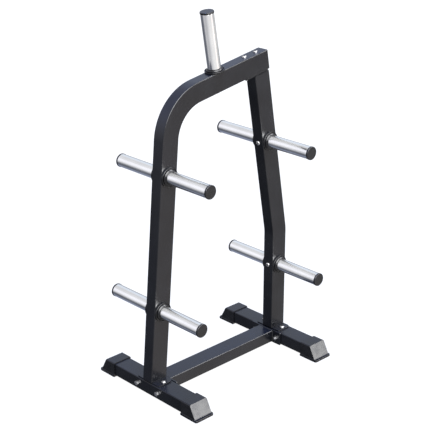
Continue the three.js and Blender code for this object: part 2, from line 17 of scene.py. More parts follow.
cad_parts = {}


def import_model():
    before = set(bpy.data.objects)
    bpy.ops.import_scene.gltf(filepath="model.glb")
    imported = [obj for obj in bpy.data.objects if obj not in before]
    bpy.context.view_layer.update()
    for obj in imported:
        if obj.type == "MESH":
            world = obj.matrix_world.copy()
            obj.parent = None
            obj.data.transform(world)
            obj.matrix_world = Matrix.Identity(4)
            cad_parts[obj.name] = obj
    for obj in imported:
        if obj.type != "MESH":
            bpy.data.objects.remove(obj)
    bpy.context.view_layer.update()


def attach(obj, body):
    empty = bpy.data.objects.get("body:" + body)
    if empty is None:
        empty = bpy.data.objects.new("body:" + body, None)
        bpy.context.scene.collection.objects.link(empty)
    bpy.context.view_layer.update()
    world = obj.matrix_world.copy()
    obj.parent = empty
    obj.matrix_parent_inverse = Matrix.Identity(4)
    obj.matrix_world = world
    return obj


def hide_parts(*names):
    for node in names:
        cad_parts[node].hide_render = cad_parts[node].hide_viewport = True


log = logging.getLogger("plate_tree")

BODY = "root"

# Nearness within which two places count as one, and within which two points merge
NEAR = 1e-5
MERGE = 1e-6
# Least cosine between two directions that count as the same
FACING = 0.99
# Angles under which faces are joined, and past which an edge stays crisp
FLAT_ANGLE = 0.5
CRISP_ANGLE = 32
# How far a cutter runs past what it cuts, and the length of one that crosses a whole tube
OVERRUN = 0.03
CROSSING = 0.2
HEX_SIDES = 6

Color = tuple[float, float, float]
Point = tuple[float, float, float]
# What feeds a node's input sockets: by name or number, a value or the socket that gives it
Feeds = dict[str | int, object]


class Slot(Enum):
    """Material slots of the record."""

    PAINT = "frame_paint"
    PLASTIC = "moulded_plastic"
    CHROME = "peg_chrome"
    ZINC = "bolt_zinc"


class Kind(Enum):
    """Kinds of mesh element that can be picked."""

    POINT = "VERT"
    EDGE = "EDGE"
    FACE = "FACE"


class Cut(Enum):
    """Ways of combining one closed shape with another."""

    REMOVE = "DIFFERENCE"
    COMMON = "INTERSECT"


class Round(IntEnum):
    """Number of flat steps round an edge or a corner."""

    BROKEN = 2
    SMALL = 3
    PLAIN = 4
    LARGE = 6
    WIDE = 8


class Way(Enum):
    """A way along an axis that nodes' names have a word for."""

    @property
    def word(self) -> str:
        """The word within a node's name."""
        return self.name.lower()


class Side(Way):
    """The two sides of the rack, along X."""

    LEFT = -1
    RIGHT = 1


class End(Way):
    """The two ends of a foot or a peg, along Y."""

    FRONT = -1
    REAR = 1

    def of_pair(self, spacing: float) -> Matrix:
        """Move from the middle of a pair that is a spacing apart to the one at this end."""
        return shift(y=self.value * spacing / 2)


def shift(x: float = 0, y: float = 0, z: float = 0) -> Matrix:
    """Move by a length along each axis."""
    return Matrix.Translation((x, y, z))


def along_y(way: int) -> Matrix:
    """Turn that lays a piece made along Z to point along Y, to the front or the back."""
    return Matrix.Rotation(-way * math.pi / 2, 4, "X")


def along_x(way: int) -> Matrix:
    """Turn that lays a piece made along Z to point along X, left or right."""
    return Matrix.Rotation(way * math.pi / 2, 4, "Y")


def upside_down() -> Matrix:
    """Half turn about X."""
    return Matrix.Rotation(math.pi, 4, "X")


def near(*lengths: float) -> bool:
    """Whether all lengths are as good as zero."""
    return all(abs(length) < NEAR for length in lengths)


def level(first: Vector, last: Vector) -> bool:
    """Whether an edge lies level."""
    return near(first.z - last.z)


@dataclass(frozen=True)
class Tubing:
    """Rectangular steel tube of the feet, beam, mast, rail and post."""

    wide: float = 0.075
    narrow: float = 0.050
    wall: float = 0.003
    corner: float = 0.0032
    bend_radius: float = 0.170
    degrees_per_step: float = 2.5


@dataclass(frozen=True)
class Fits:
    """Clearances and the sizes of the fasteners that the holes are drilled for."""

    gap: float = 0.0003
    bolt: float = 0.010
    peg: float = 0.050
    peg_wall: float = 0.0025
    hole_sides: int = 40

    @property
    def bolt_hole(self) -> float:
        """Radius of a bolt hole."""
        return self.bolt / 2 + self.gap

    @property
    def peg_hole(self) -> float:
        """Radius of a peg hole."""
        return self.peg / 2 + self.gap


@dataclass(frozen=True)
class BentLine:
    """Centre line of a tube with one bend, in the plane of the mast and the post."""

    start: Vector
    corner: Vector
    end: Vector
    radius: float

    @property
    def incoming(self) -> Vector:
        """Heading of the run before the bend."""
        return (self.corner - self.start).normalized()

    @property
    def outgoing(self) -> Vector:
        """Heading of the run after the bend."""
        return (self.end - self.corner).normalized()

    @property
    def turn(self) -> float:
        """Angle of the bend about Y, in radians."""
        return math.atan2(self.incoming.cross(self.outgoing).y, self.incoming.dot(self.outgoing))

    @property
    def setback(self) -> float:
        """Distance from the corner to each end of the bend."""
        return self.radius * math.tan(abs(self.turn) / 2)

    @property
    def bend_start(self) -> Vector:
        """Point where the first run meets the bend."""
        return self.corner - self.incoming * self.setback

    @property
    def bend_end(self) -> Vector:
        """Point where the bend meets the second run."""
        return self.corner + self.outgoing * self.setback

    @property
    def centre(self) -> Vector:
        """Centre of the bend."""
        towards = Vector((self.incoming.z, 0, -self.incoming.x)) * math.copysign(1, self.turn)
        return self.bend_start + towards * self.radius

    def frame_at(self, height: float) -> Matrix:
        """Place on a straight run of the line, with Z turned along the line.

        Args:
            height: Height above the floor.

        Returns:
            The place and turn as a matrix.
        """
        lower = height < self.corner.z
        heading = self.incoming if lower else self.outgoing
        foot = self.start if lower else self.corner
        point = foot + heading * (height - foot.z) / heading.z
        return Matrix.Translation(point) @ Matrix.Rotation(math.atan2(heading.x, heading.z), 4, "Y")


@dataclass(frozen=True)
class Rack:
    """Sizes and lines that more than one part of the rack follows."""

    tubing: Tubing = Tubing()
    fits: Fits = Fits()
    foot_spacing: float = 0.650
    cap_sole: float = 0.0047
    base_plate_length: float = 0.126
    base_plate_thickness: float = 0.005
    base_bolt_spacing: float = 0.100
    beam_bolt_spacing: float = 0.114
    end_plate_thickness: float = 0.006
    mast_corner_height: float = 1.112
    mast_corner_inset: float = 0.0875
    rail_length: float = 0.485
    post_bend_height: float = 0.484
    top_plate_thickness: float = 0.006
    top_plate_overhang: float = 0.0425
    top_peg_inset: float = 0.249
    lower_peg_height: float = 0.337
    mast_upper_peg_height: float = 0.852
    post_upper_peg_height: float = 0.873

    @property
    def foot_middle(self) -> float:
        """Height of the middle of the foot tubes and the beam."""
        return self.cap_sole + self.fits.gap + self.tubing.narrow / 2

    @property
    def foot_top(self) -> float:
        """Height of the top of the foot tubes."""
        return self.foot_middle + self.tubing.narrow / 2

    @property
    def plate_bottom(self) -> float:
        """Height of the underside of the base plates."""
        return self.foot_top + self.fits.gap

    @property
    def plate_top(self) -> float:
        """Height of the top of the base plates."""
        return self.plate_bottom + self.base_plate_thickness

    @property
    def under_rail(self) -> float:
        """Place of the top of the post's plate in the rail's frame."""
        return -self.tubing.wide / 2 - self.fits.gap

    @property
    def mast_foot(self) -> Vector:
        """Middle of the mast where it stands on its base plate."""
        return Vector((-self.foot_spacing / 2, 0, self.plate_top))

    @property
    def mast_corner(self) -> Vector:
        """Corner that the bend of the mast rounds off."""
        return Vector((-self.foot_spacing / 2 + self.mast_corner_inset, 0, self.mast_corner_height))

    @property
    def post_corner(self) -> Vector:
        """Corner that the bend of the post rounds off."""
        return Vector((self.foot_spacing / 2, 0, self.post_bend_height))

    @property
    def rail_rise(self) -> float:
        """Slope of the rail, which makes the upper run of the post square to it.

        Returns:
            The slope in radians.
        """
        run = self.rail_length - self.tubing.wide / 2
        across = self.post_corner - self.mast_corner
        return math.acos(run / across.length) + math.atan2(across.z, across.x)

    @property
    def rail_frame(self) -> Matrix:
        """Frame of the rail: zero in the middle of its open end, X outwards along it and Z square to it.

        Returns:
            The place and turn as a matrix.
        """
        heading = Vector((math.cos(self.rail_rise), 0, math.sin(self.rail_rise)))
        end = self.mast_corner + heading * self.rail_length
        return Matrix.Translation(end) @ Matrix.Rotation(-self.rail_rise, 4, "Y")

    @property
    def rail_bolt_places(self) -> dict[str, float]:
        """Places along the rail of the two bolts into the post."""
        wide = self.tubing.wide
        return {"outer": -wide / 2, "inner": -wide - self.top_plate_overhang / 2}

    @property
    def mast_line(self) -> BentLine:
        """Centre line of the mast and the rail.

        Returns:
            The line.
        """
        heading = (self.mast_corner - self.mast_foot).normalized()
        start = self.mast_foot - heading * self.base_plate_thickness
        return BentLine(start, self.mast_corner, self.rail_frame.translation, self.tubing.bend_radius)

    @property
    def post_line(self) -> BentLine:
        """Centre line of the post, up to the plate under the rail.

        Returns:
            The line.
        """
        top = Vector((-self.tubing.wide / 2, 0, self.under_rail - self.top_plate_thickness))
        start = Vector((self.foot_spacing / 2, 0, self.plate_top))
        return BentLine(start, self.post_corner, self.rail_frame @ top, self.tubing.bend_radius)

    @property
    def mast_pegs(self) -> list[Matrix]:
        """Places of the lower and the upper peg through the mast."""
        return [self.mast_line.frame_at(at) for at in (self.lower_peg_height, self.mast_upper_peg_height)]

    @property
    def post_pegs(self) -> list[Matrix]:
        """Places of the lower and the upper peg through the post."""
        return [self.post_line.frame_at(at) for at in (self.lower_peg_height, self.post_upper_peg_height)]


def deselect() -> None:
    """Leaves edit mode and deselects every object."""
    if bpy.context.object is not None and bpy.context.object.mode == "EDIT":
        bpy.ops.object.mode_set(mode="OBJECT")
    bpy.ops.object.select_all(action="DESELECT")


@dataclass
class Shape:
    """A mesh under the tools: a primitive at first, the finished piece at the end."""

    body: bpy.types.Object

    @classmethod
    def started(cls, add: Callable[..., object], **sizes: object) -> "Shape":
        """Adds a primitive, with its place in its mesh.

        Args:
            add: Operator that adds it.
            sizes: Sizes and place for the operator.

        Returns:
            The primitive.
        """
        deselect()
        add(**sizes)
        bpy.ops.object.transform_apply(location=True, rotation=True, scale=True)
        return cls(bpy.context.object)

    def activate(self) -> None:
        """Makes this the one selected object, in object mode."""
        deselect()
        self.body.select_set(True)
        bpy.context.view_layer.objects.active = self.body

    def pick_all(self, kind: Kind = Kind.POINT) -> None:
        """Selects the whole mesh in edit mode.

        Args:
            kind: Kind of element that is picked next.
        """
        self.activate()
        bpy.ops.object.mode_set(mode="EDIT")
        bpy.ops.mesh.select_mode(type=kind.value)
        bpy.ops.mesh.select_all(action="SELECT")

    def pick(self, kind: Kind, test: Callable[..., bool]) -> None:
        """Selects the elements that pass a test and stays in edit mode.

        Args:
            kind: Kind of element.
            test: Takes a point's place, the places of an edge's two ends, or a face's middle and normal.
        """
        self.pick_all(kind)
        bpy.ops.mesh.select_all(action="DESELECT")
        bpy.ops.object.mode_set(mode="OBJECT")
        mesh = self.body.data
        if kind is Kind.POINT:
            for point in mesh.vertices:
                point.select = test(point.co)
        elif kind is Kind.EDGE:
            for edge in mesh.edges:
                edge.select = test(*(mesh.vertices[end].co for end in edge.vertices))
        else:
            for face in mesh.polygons:
                face.select = test(face.center, face.normal)
        bpy.ops.object.mode_set(mode="EDIT")

    def extrude(self, move: Sequence[float]) -> None:
        """Extrudes the picked faces by a move."""
        bpy.ops.mesh.extrude_region_move(TRANSFORM_OT_translate={"value": tuple(move)})

    def bevel(self, width: float, steps: Round, points: bool = False) -> None:
        """Rounds the picked edges, or the picked points, over a width on both sides of them."""
        affect = "VERTICES" if points else "EDGES"
        bpy.ops.mesh.bevel(offset=width, offset_type="OFFSET", segments=steps, affect=affect)

    def round_edges(self, width: float, steps: Round, test: Callable[[Vector, Vector], bool]) -> None:
        """Rounds the edges whose two ends pass a test."""
        self.pick(Kind.EDGE, test)
        self.bevel(width, steps)

    def push_faces(self, move: Sequence[float], test: Callable[[Vector, Vector], bool]) -> None:
        """Extrudes the faces whose middle and normal pass a test."""
        self.pick(Kind.FACE, test)
        self.extrude(move)

    def drop_faces(self, test: Callable[[Vector, Vector], bool]) -> None:
        """Opens the shape where a face's middle and normal pass a test."""
        self.pick(Kind.FACE, test)
        bpy.ops.mesh.delete(type="FACE")

    def face_out(self) -> None:
        """Turns every face outwards."""
        self.pick_all()
        bpy.ops.mesh.normals_make_consistent(inside=False)

    def merge(self) -> None:
        """Merges points that meet."""
        self.pick_all()
        bpy.ops.mesh.remove_doubles(threshold=MERGE)

    def modify(self, kind: str, **settings: object) -> None:
        """Adds a modifier and applies it.

        Args:
            kind: Kind of modifier.
            settings: Its settings.
        """
        self.activate()
        modifier = self.body.modifiers.new(kind.title(), kind)
        for setting, value in settings.items():
            setattr(modifier, setting, value)
        bpy.ops.object.modifier_apply(modifier=modifier.name)

    def hollow(self, wall: float) -> None:
        """Gives an open skin a wall on its inner side."""
        self.modify("SOLIDIFY", thickness=wall, offset=-1, use_even_offset=True)

    def combine(self, tool: "Shape", cut: Cut = Cut.REMOVE) -> None:
        """Cuts the shape with another one, which is used up."""
        self.modify("BOOLEAN", object=tool.body, operation=cut.value, solver="EXACT")
        tool.discard()

    def join(self, *others: "Shape") -> None:
        """Takes other shapes into this mesh as welded parts of the piece.

        Args:
            others: The other shapes, which are used up.
        """
        self.activate()
        for other in others:
            other.body.select_set(True)
        bpy.ops.object.join()

    def drill(self, bores: Sequence["Shape"]) -> None:
        """Drills the shape with all bores in one cut.

        Args:
            bores: One cutter or more.
        """
        first, *rest = bores
        first.join(*rest)
        self.combine(first)

    def move(self, matrix: Matrix) -> None:
        """Moves the mesh and leaves the object at the origin."""
        self.activate()
        self.body.data.transform(matrix)

    def smooth(self) -> None:
        """Shades curves smooth and keeps flat faces flat and crisp edges crisp."""
        self.activate()
        bpy.ops.object.shade_smooth_by_angle(angle=math.radians(CRISP_ANGLE))
        self.modify("WEIGHTED_NORMAL", keep_sharp=True)

    def placed(self, place: Matrix) -> "Shape":
        """Copies the shape to a place, with a mesh of its own.

        Args:
            place: Place of the copy.

        Returns:
            The copy.
        """
        self.activate()
        bpy.ops.object.duplicate(linked=False)
        copy = Shape(bpy.context.object)
        copy.move(place)
        return copy

    def discard(self) -> None:
        """Removes the shape."""
        self.activate()
        bpy.ops.object.delete()


def outline(width: float, length: float, corner: float) -> Shape:
    """Flat face with round corners, centred in the XY plane.

    Args:
        width: Size along X.
        length: Size along Y.
        corner: Radius of the corners.

    Returns:
        The face.
    """
    shape = Shape.started(bpy.ops.mesh.primitive_plane_add, size=1)
    shape.pick_all()
    bpy.ops.transform.resize(value=(width, length, 1))
    shape.bevel(corner, Round.LARGE, points=True)
    return shape


def plate(width: float, length: float, thickness: float, corner: float) -> Shape:
    """Flat plate with round corners, centred in the XY plane and standing on zero.

    Args:
        width: Size along X.
        length: Size along Y.
        thickness: Size along Z.
        corner: Radius of the corners.

    Returns:
        The plate.
    """
    shape = outline(width, length, corner)
    shape.pick_all(Kind.FACE)
    shape.extrude((0, 0, thickness))
    shape.face_out()
    return shape


def rod(radius: float, bottom: float, top: float, sides: int) -> Shape:
    """Rod along Z between two heights, for drilling and trimming.

    Args:
        radius: Radius through its corners.
        bottom: Height of its lower end.
        top: Height of its upper end.
        sides: Number of flat sides.

    Returns:
        The rod.
    """
    middle = (0, 0, (top + bottom) / 2)
    add = bpy.ops.mesh.primitive_cylinder_add
    return Shape.started(add, radius=radius, depth=top - bottom, vertices=sides, location=middle)


def hex_bar(across_flats: float, bottom: float, top: float) -> Shape:
    """Hexagon bar along Z between two heights.

    Args:
        across_flats: Distance between two opposite flats.
        bottom: Height of its lower end.
        top: Height of its upper end.

    Returns:
        The bar.
    """
    return rod(across_flats / 2 / math.cos(math.pi / HEX_SIDES), bottom, top, HEX_SIDES)


@dataclass(frozen=True)
class Corner:
    """One corner of a turned profile, with the reach of its rounding."""

    radius: float
    height: float
    rounding: float = 0
    steps: Round = Round.BROKEN

    @property
    def point(self) -> Vector:
        """The corner in the XZ plane."""
        return Vector((self.radius, 0, self.height))


def turned(profile: Sequence[Corner], steps: int) -> Shape:
    """Piece turned about Z: its profile is traced, its corners are rounded and it is spun.

    Args:
        profile: Corners of the profile, in order round the material.
        steps: Steps of the spin.

    Returns:
        The turned piece.
    """
    shape = Shape.started(bpy.ops.mesh.primitive_plane_add, size=1)
    shape.pick_all()
    bpy.ops.mesh.merge(type="CENTER")
    shape.pick_all()
    bpy.ops.transform.translate(value=profile[0].point)
    for before, after in zip(profile, profile[1:]):
        step = {"value": after.point - before.point}
        bpy.ops.mesh.extrude_vertices_move(TRANSFORM_OT_translate=step)
    shape.pick_all()
    bpy.ops.mesh.edge_face_add()
    for corner in profile:
        if corner.rounding > 0:
            shape.pick(Kind.POINT, lambda place, corner=corner: near((place - corner.point).length))
            shape.bevel(corner.rounding, corner.steps, points=True)
    shape.pick_all(Kind.FACE)
    bpy.ops.mesh.delete(type="ONLY_FACE")
    shape.pick_all(Kind.EDGE)
    bpy.ops.mesh.spin(steps=steps, angle=math.tau, center=(0, 0, 0), axis=(0, 0, 1))
    shape.merge()
    shape.face_out()
    return shape


def bead(width: float, length: float, corner: float, reach: float) -> Shape:
    """Weld bead round the foot of a rectangular tube that stands on zero.

    Args:
        width: Size of the tube along X.
        length: Size of the tube along Y.
        corner: Radius of the tube's corners.
        reach: How far the bead runs out over the plate and up the tube.

    Returns:
        The bead, as a closed pad whose sides slope up to the tube's skin.
    """
    shape = plate(width + 2 * reach, length + 2 * reach, reach, corner + reach)
    shape.pick(Kind.FACE, lambda middle, normal: normal.z > 1 - NEAR)
    bpy.ops.transform.resize(value=(width / (width + 2 * reach), length / (length + 2 * reach), 1))
    shape.round_edges(reach / 3, Round.BROKEN, lambda first, last: min(first.z, last.z) > reach - NEAR)
    return shape


@dataclass
class Piece:
    """A finished shape, the CAD node that it stands for and its material slot."""

    shape: Shape
    node: str
    slot: Slot


@dataclass
class SubAssembly:
    """Part of the rack whose pieces are built together and then dressed."""

    rack: Rack
    pieces: list[Piece] = field(default_factory=list, init=False)

    def keep(self, shape: Shape, node: str, slot: Slot) -> None:
        """Keeps a finished shape for a node."""
        shape.body.name = f"{node}_finished"
        self.pieces.append(Piece(shape, node, slot))

    def keep_copy(self, model: Shape, place: Matrix, node: str, slot: Slot) -> None:
        """Keeps a copy of a model for a node."""
        self.keep(model.placed(place), node, slot)

    def build(self) -> None:
        """Builds the meshes."""
        raise NotImplementedError

    def dress(self, finishes: dict[Slot, bpy.types.Material]) -> None:
        """Gives every piece its finish and hangs it on the frame.

        Args:
            finishes: The material of each slot.
        """
        for piece in self.pieces:
            body = piece.shape.body
            body.data.materials.clear()
            body.data.materials.append(finishes[piece.slot])
            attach(body, BODY)
            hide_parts(piece.node)
            log.info("%s: %d faces, %s", body.name, len(body.data.polygons), piece.slot.value)

    def swept_tube(self, line: BentLine) -> Shape:
        """Rectangular tube along a bent line, open at both ends, with its wide side in the bend's plane.

        Args:
            line: Centre line.

        Returns:
            The tube.
        """
        tubing = self.rack.tubing
        shape = outline(tubing.wide, tubing.narrow, tubing.corner)
        shape.move(line.frame_at(line.start.z))
        shape.pick_all(Kind.FACE)
        shape.extrude(line.bend_start - line.start)
        steps = math.ceil(math.degrees(abs(line.turn)) / tubing.degrees_per_step)
        bpy.ops.mesh.spin(steps=steps, angle=-line.turn, center=line.centre, axis=(0, 1, 0))
        shape.extrude(line.end - line.bend_end)
        shape.face_out()
        for place, heading in ((line.start, line.incoming), (line.end, line.outgoing)):
            shape.drop_faces(
                lambda middle, normal, place=place, heading=heading: near((middle - place).length)
                and abs(normal.dot(heading)) > FACING
            )
        shape.hollow(tubing.wall)
        return shape

    def straight_tube(self, width: float, height: float, length: float) -> Shape:
        """Straight rectangular tube along Z, centred on zero and open at both ends.

        Args:
            width: Size along X.
            height: Size along Y.
            length: Size along Z.

        Returns:
            The tube.
        """
        shape = plate(width, height, length, self.rack.tubing.corner)
        shape.drop_faces(lambda middle, normal: abs(normal.z) > 1 - NEAR)
        shape.hollow(self.rack.tubing.wall)
        shape.move(shift(z=-length / 2))
        return shape

    def bore(self, radius: float, place: Matrix, reach: float = CROSSING) -> Shape:
        """Cutter for one round hole, centred on a place and along its Z.

        Args:
            radius: Radius of the hole.
            place: Middle and direction of the hole.
            reach: Length of the cutter.

        Returns:
            The cutter.
        """
        shape = rod(radius, -reach / 2, reach / 2, self.rack.fits.hole_sides)
        shape.move(place)
        return shape

    def bolted_plate(self, size: Point, corner: float, edge: float, holes: Sequence[Matrix]) -> Shape:
        """Flat plate on zero, with its edges broken and holes for bolts.

        Args:
            size: Sizes along X, Y and Z.
            corner: Radius of the corners.
            edge: Width of the broken edges.
            holes: Place of each hole.

        Returns:
            The plate.
        """
        shape = plate(*size, corner)
        shape.round_edges(edge, Round.BROKEN, level)
        shape.drill([self.bore(self.rack.fits.bolt_hole, hole) for hole in holes])
        return shape


@dataclass(frozen=True)
class ButtonHead:
    """Sizes of a domed bolt head with a hexagon socket."""

    diameter: float = 0.0175
    height: float = 0.0055
    rim: float = 0.0012
    shoulder_share: float = 0.72
    top: float = 0.0100
    socket: float = 0.0080
    socket_depth: float = 0.0065


@dataclass(frozen=True)
class HexHead:
    """Sizes of a hexagon head or nut."""

    across_flats: float = 0.0160
    chamfer: float = 0.0011
    chamfer_slope: float = 0.58


@dataclass
class Hardware:
    """Bolts, nuts and washers. Each kind is made once, at zero under its head, and copied into place."""

    fits: Fits
    button: ButtonHead = ButtonHead()
    hexagon: HexHead = HexHead()
    head_height: float = 0.0064
    nut_height: float = 0.008
    tail: float = 0.003
    washer_diameter: float = 0.0172
    washer_thickness: float = 0.002
    edge: float = 0.0003
    tip_edge: float = 0.0009
    steps: int = 40

    def past_nut(self, grip: float) -> float:
        """Length of a bolt that holds a grip and ends past its nut."""
        return grip + self.nut_height + self.tail

    def shank(self, length: float) -> list[Corner]:
        """Lower end of a bolt's profile, up to the underside of its head."""
        radius = self.fits.bolt / 2
        return [Corner(0, -length), Corner(radius, -length, self.tip_edge), Corner(radius, 0)]

    def button_bolt(self, length: float) -> Shape:
        """Bolt along Z with a domed head and a hexagon socket.

        Args:
            length: Length under the head.

        Returns:
            The bolt.
        """
        head = self.button
        outer = head.diameter / 2
        shoulder = (head.diameter + head.top) / 4 + head.rim
        profile = [
            *self.shank(length),
            Corner(outer, 0, self.edge),
            Corner(outer, head.rim, self.edge),
            Corner(shoulder, head.height * head.shoulder_share, head.rim, Round.SMALL),
            Corner(head.top / 2, head.height, head.rim / 2, Round.SMALL),
            Corner(0, head.height),
        ]
        bolt = turned(profile, self.steps)
        bolt.combine(hex_bar(head.socket, head.height - head.socket_depth, head.height + OVERRUN))
        bolt.smooth()
        return bolt

    def hex_blank(self, height: float, double: bool) -> Shape:
        """Hexagon bar on zero with its corners turned off.

        Args:
            height: Height of the bar.
            double: Turns the corners off at both ends, as on a nut.

        Returns:
            The blank.
        """
        size = self.hexagon
        half = size.across_flats / 2
        tip = half / math.cos(math.pi / HEX_SIDES)
        drop = (tip - half) * size.chamfer_slope + size.chamfer / 2
        inner, outer = half - size.chamfer / 2, tip + size.chamfer
        foot = [Corner(inner, 0), Corner(outer, drop)] if double else [Corner(outer, 0)]
        head = [Corner(outer, height - drop), Corner(inner, height), Corner(0, height)]
        blank = hex_bar(size.across_flats, 0, height)
        blank.combine(turned([Corner(0, 0), *foot, *head], self.steps), Cut.COMMON)
        return blank

    def hex_bolt(self, length: float) -> Shape:
        """Bolt along Z with a hexagon head.

        Args:
            length: Length under the head.

        Returns:
            The bolt.
        """
        bolt = self.hex_blank(self.head_height, double=False)
        bolt.join(turned([*self.shank(length), Corner(0, 0)], self.steps))
        bolt.smooth()
        return bolt

    def hex_nut(self) -> Shape:
        """Nut along Z that stands on zero.

        Returns:
            The nut.
        """
        nut = self.hex_blank(self.nut_height, double=True)
        nut.combine(rod(self.fits.bolt_hole, -OVERRUN, self.nut_height + OVERRUN, self.steps))
        nut.smooth()
        return nut

    def washer(self) -> Shape:
        """Flat washer along Z that stands on zero.

        Returns:
            The washer.
        """
        inner = self.fits.bolt_hole
        outer = self.washer_diameter / 2
        profile = [
            Corner(inner, 0),
            Corner(outer, 0, self.edge),
            Corner(outer, self.washer_thickness, self.edge),
            Corner(inner, self.washer_thickness),
        ]
        disc = turned(profile, self.steps)
        disc.smooth()
        return disc


@dataclass(frozen=True)
class FootCapSizes:
    """Sizes of the moulded cap on each end of a foot."""

    wall: float = 0.004
    grip: float = 0.039
    top_run: float = 0.010
    slant_run: float = 0.027
    top_round: float = 0.0045
    edge_round: float = 0.0016
    flange_height: float = 0.008
    flange_side: float = 0.003
    flange_end: float = 0.010
    flange_round: float = 0.001
    flange_corner: float = 0.008
    fillet: float = 0.008

    @property
    def face_foot(self) -> float:
        """Where the slanted face meets the sole, past the end of the tube."""
        return self.top_run + self.slant_run

    @property
    def sole_end(self) -> float:
        """Where the sole ends, past the end of the tube."""
        return self.face_foot + self.flange_end


@dataclass
class Base(SubAssembly):
    """The two feet with their caps, the beam between them and the bolts that join them."""

    hardware: Hardware
    cap: FootCapSizes = FootCapSizes()
    foot_tube_length: float = 0.460
    end_plate_length: float = 0.160
    end_plate_margin: float = 0.002
    end_plate_edge: float = 0.0008
    weld: float = 0.003

    @property
    def cap_side(self) -> float:
        """Half the width of a cap's walls."""
        return self.rack.tubing.wide / 2 + self.rack.fits.gap + self.cap.wall

    @property
    def cap_rise(self) -> float:
        """Height of a cap's slanted face above its sole."""
        return self.rack.foot_top + self.rack.fits.gap + self.cap.wall - self.cap.flange_height

    def build(self) -> None:
        """Builds the feet, caps, beam and bolts."""
        self.build_feet()
        self.build_caps()
        self.build_beam()
        self.build_bolts()

    def foot_place(self, side: Side, height: float) -> Matrix:
        """Move to the middle of a foot at a height."""
        return shift(side.value * self.rack.foot_spacing / 2, 0, height)

    def build_feet(self) -> None:
        """Foot tubes along Y, bored for the bolts of the beam and the base plates."""
        rack = self.rack
        hole = rack.fits.bolt_hole
        for side in Side:
            tube = self.straight_tube(rack.tubing.wide, rack.tubing.narrow, self.foot_tube_length)
            tube.move(along_y(1))
            bores = []
            for end in End:
                bores.append(self.bore(hole, end.of_pair(rack.beam_bolt_spacing) @ along_x(1)))
                upright = end.of_pair(rack.base_bolt_spacing) @ shift(z=rack.tubing.narrow / 2)
                bores.append(self.bore(hole, upright, OVERRUN))
            tube.drill(bores)
            tube.move(self.foot_place(side, rack.foot_middle))
            tube.smooth()
            self.keep(tube, f"{side.word}_foot_tube", Slot.PAINT)

    def build_caps(self) -> None:
        """Moulded caps: one is shaped and copied to the four ends."""
        model = self.foot_cap()
        for side in Side:
            for end in End:
                turn = Matrix.Rotation(0 if end is End.REAR else math.pi, 4, "Z")
                place = self.foot_place(side, 0) @ end.of_pair(self.foot_tube_length) @ turn
                self.keep_copy(model, place, f"{side.word}_foot_{end.word}_cap", Slot.PLASTIC)
        model.discard()

    def foot_cap(self) -> Shape:
        """Cap that closes in a slanted face on a flared sole. Zero is on the floor, at the end of the tube.

        Returns:
            The cap.
        """
        cap, tubing, gap = self.cap, self.rack.tubing, self.rack.fits.gap
        sole, foot, rise = cap.flange_height, cap.face_foot, self.cap_rise
        top = sole + rise

        def on_top(first: Vector, last: Vector) -> bool:
            """Whether an edge lies in the top face."""
            return min(first.z, last.z) > top - NEAR

        shape = Shape.started(
            bpy.ops.mesh.primitive_cube_add,
            size=1,
            location=(0, (foot - cap.grip) / 2, sole + rise / 2),
            scale=(2 * self.cap_side, foot + cap.grip, rise),
        )
        shape.pick(Kind.POINT, lambda place: place.y > foot - NEAR and place.z > top - NEAR)
        bpy.ops.transform.translate(value=(0, -cap.slant_run, 0))
        shape.round_edges(
            cap.top_round,
            Round.PLAIN,
            lambda first, last: on_top(first, last) and near(first.x - last.x),
        )
        shape.round_edges(
            cap.edge_round * math.tan(math.atan2(rise, cap.slant_run) / 2),
            Round.SMALL,
            lambda first, last: on_top(first, last) and min(first.y, last.y) > cap.top_run - NEAR,
        )
        shape.push_faces((0, 0, -sole), lambda middle, normal: normal.z < -FACING)
        for move in ((0, cap.flange_end, 0), (-cap.flange_side, 0, 0), (cap.flange_side, 0, 0)):
            heading = Vector(move).normalized()
            shape.push_faces(
                move,
                lambda middle, normal, heading=heading: normal.dot(heading) > FACING and middle.z < sole,
            )
        shape.merge()
        bpy.ops.mesh.dissolve_limited(angle_limit=math.radians(FLAT_ANGLE))
        self.round_flange(shape)

        play = 2 * gap
        mouth = plate(tubing.wide + play, tubing.narrow + play, cap.grip + OVERRUN, tubing.corner + gap)
        mouth.move(shift(y=gap, z=self.rack.foot_middle) @ along_y(-1))
        shape.combine(mouth)
        shape.smooth()
        return shape

    def round_flange(self, shape: Shape) -> None:
        """Rounds the sole's corners and rim and fills the angles between the sole and the walls.

        Args:
            shape: The cap so far.
        """
        cap, side = self.cap, self.cap_side
        height, foot, end = cap.flange_height, cap.face_foot, cap.sole_end

        def on_flange(first: Vector, last: Vector) -> bool:
            """Whether an edge lies on the sole's upper face."""
            return near(first.z - height, last.z - height)

        shape.round_edges(
            cap.flange_corner,
            Round.WIDE,
            lambda first, last: min(first.y, last.y) > end - NEAR
            and near(first.x - last.x)
            and abs(first.z - last.z) > height / 2,
        )
        shape.round_edges(
            cap.fillet * math.tan(math.atan2(self.cap_rise, cap.slant_run) / 2),
            Round.LARGE,
            lambda first, last: on_flange(first, last) and near(first.y - foot, last.y - foot),
        )
        shape.round_edges(
            cap.flange_side - cap.flange_round,
            Round.PLAIN,
            lambda first, last: on_flange(first, last) and near(abs(first.x) - side, abs(last.x) - side),
        )
        middle_side = side + cap.flange_side / 2
        middle_end = (foot + end) / 2 + cap.flange_round

        def on_rim(first: Vector, last: Vector) -> bool:
            """Whether an edge is part of the sole's upper rim."""
            x, y = min(abs(first.x), abs(last.x)), min(first.y, last.y)
            return on_flange(first, last) and (x > middle_side or y > middle_end or (x > side and y > foot))

        shape.round_edges(cap.flange_round, Round.SMALL, on_rim)

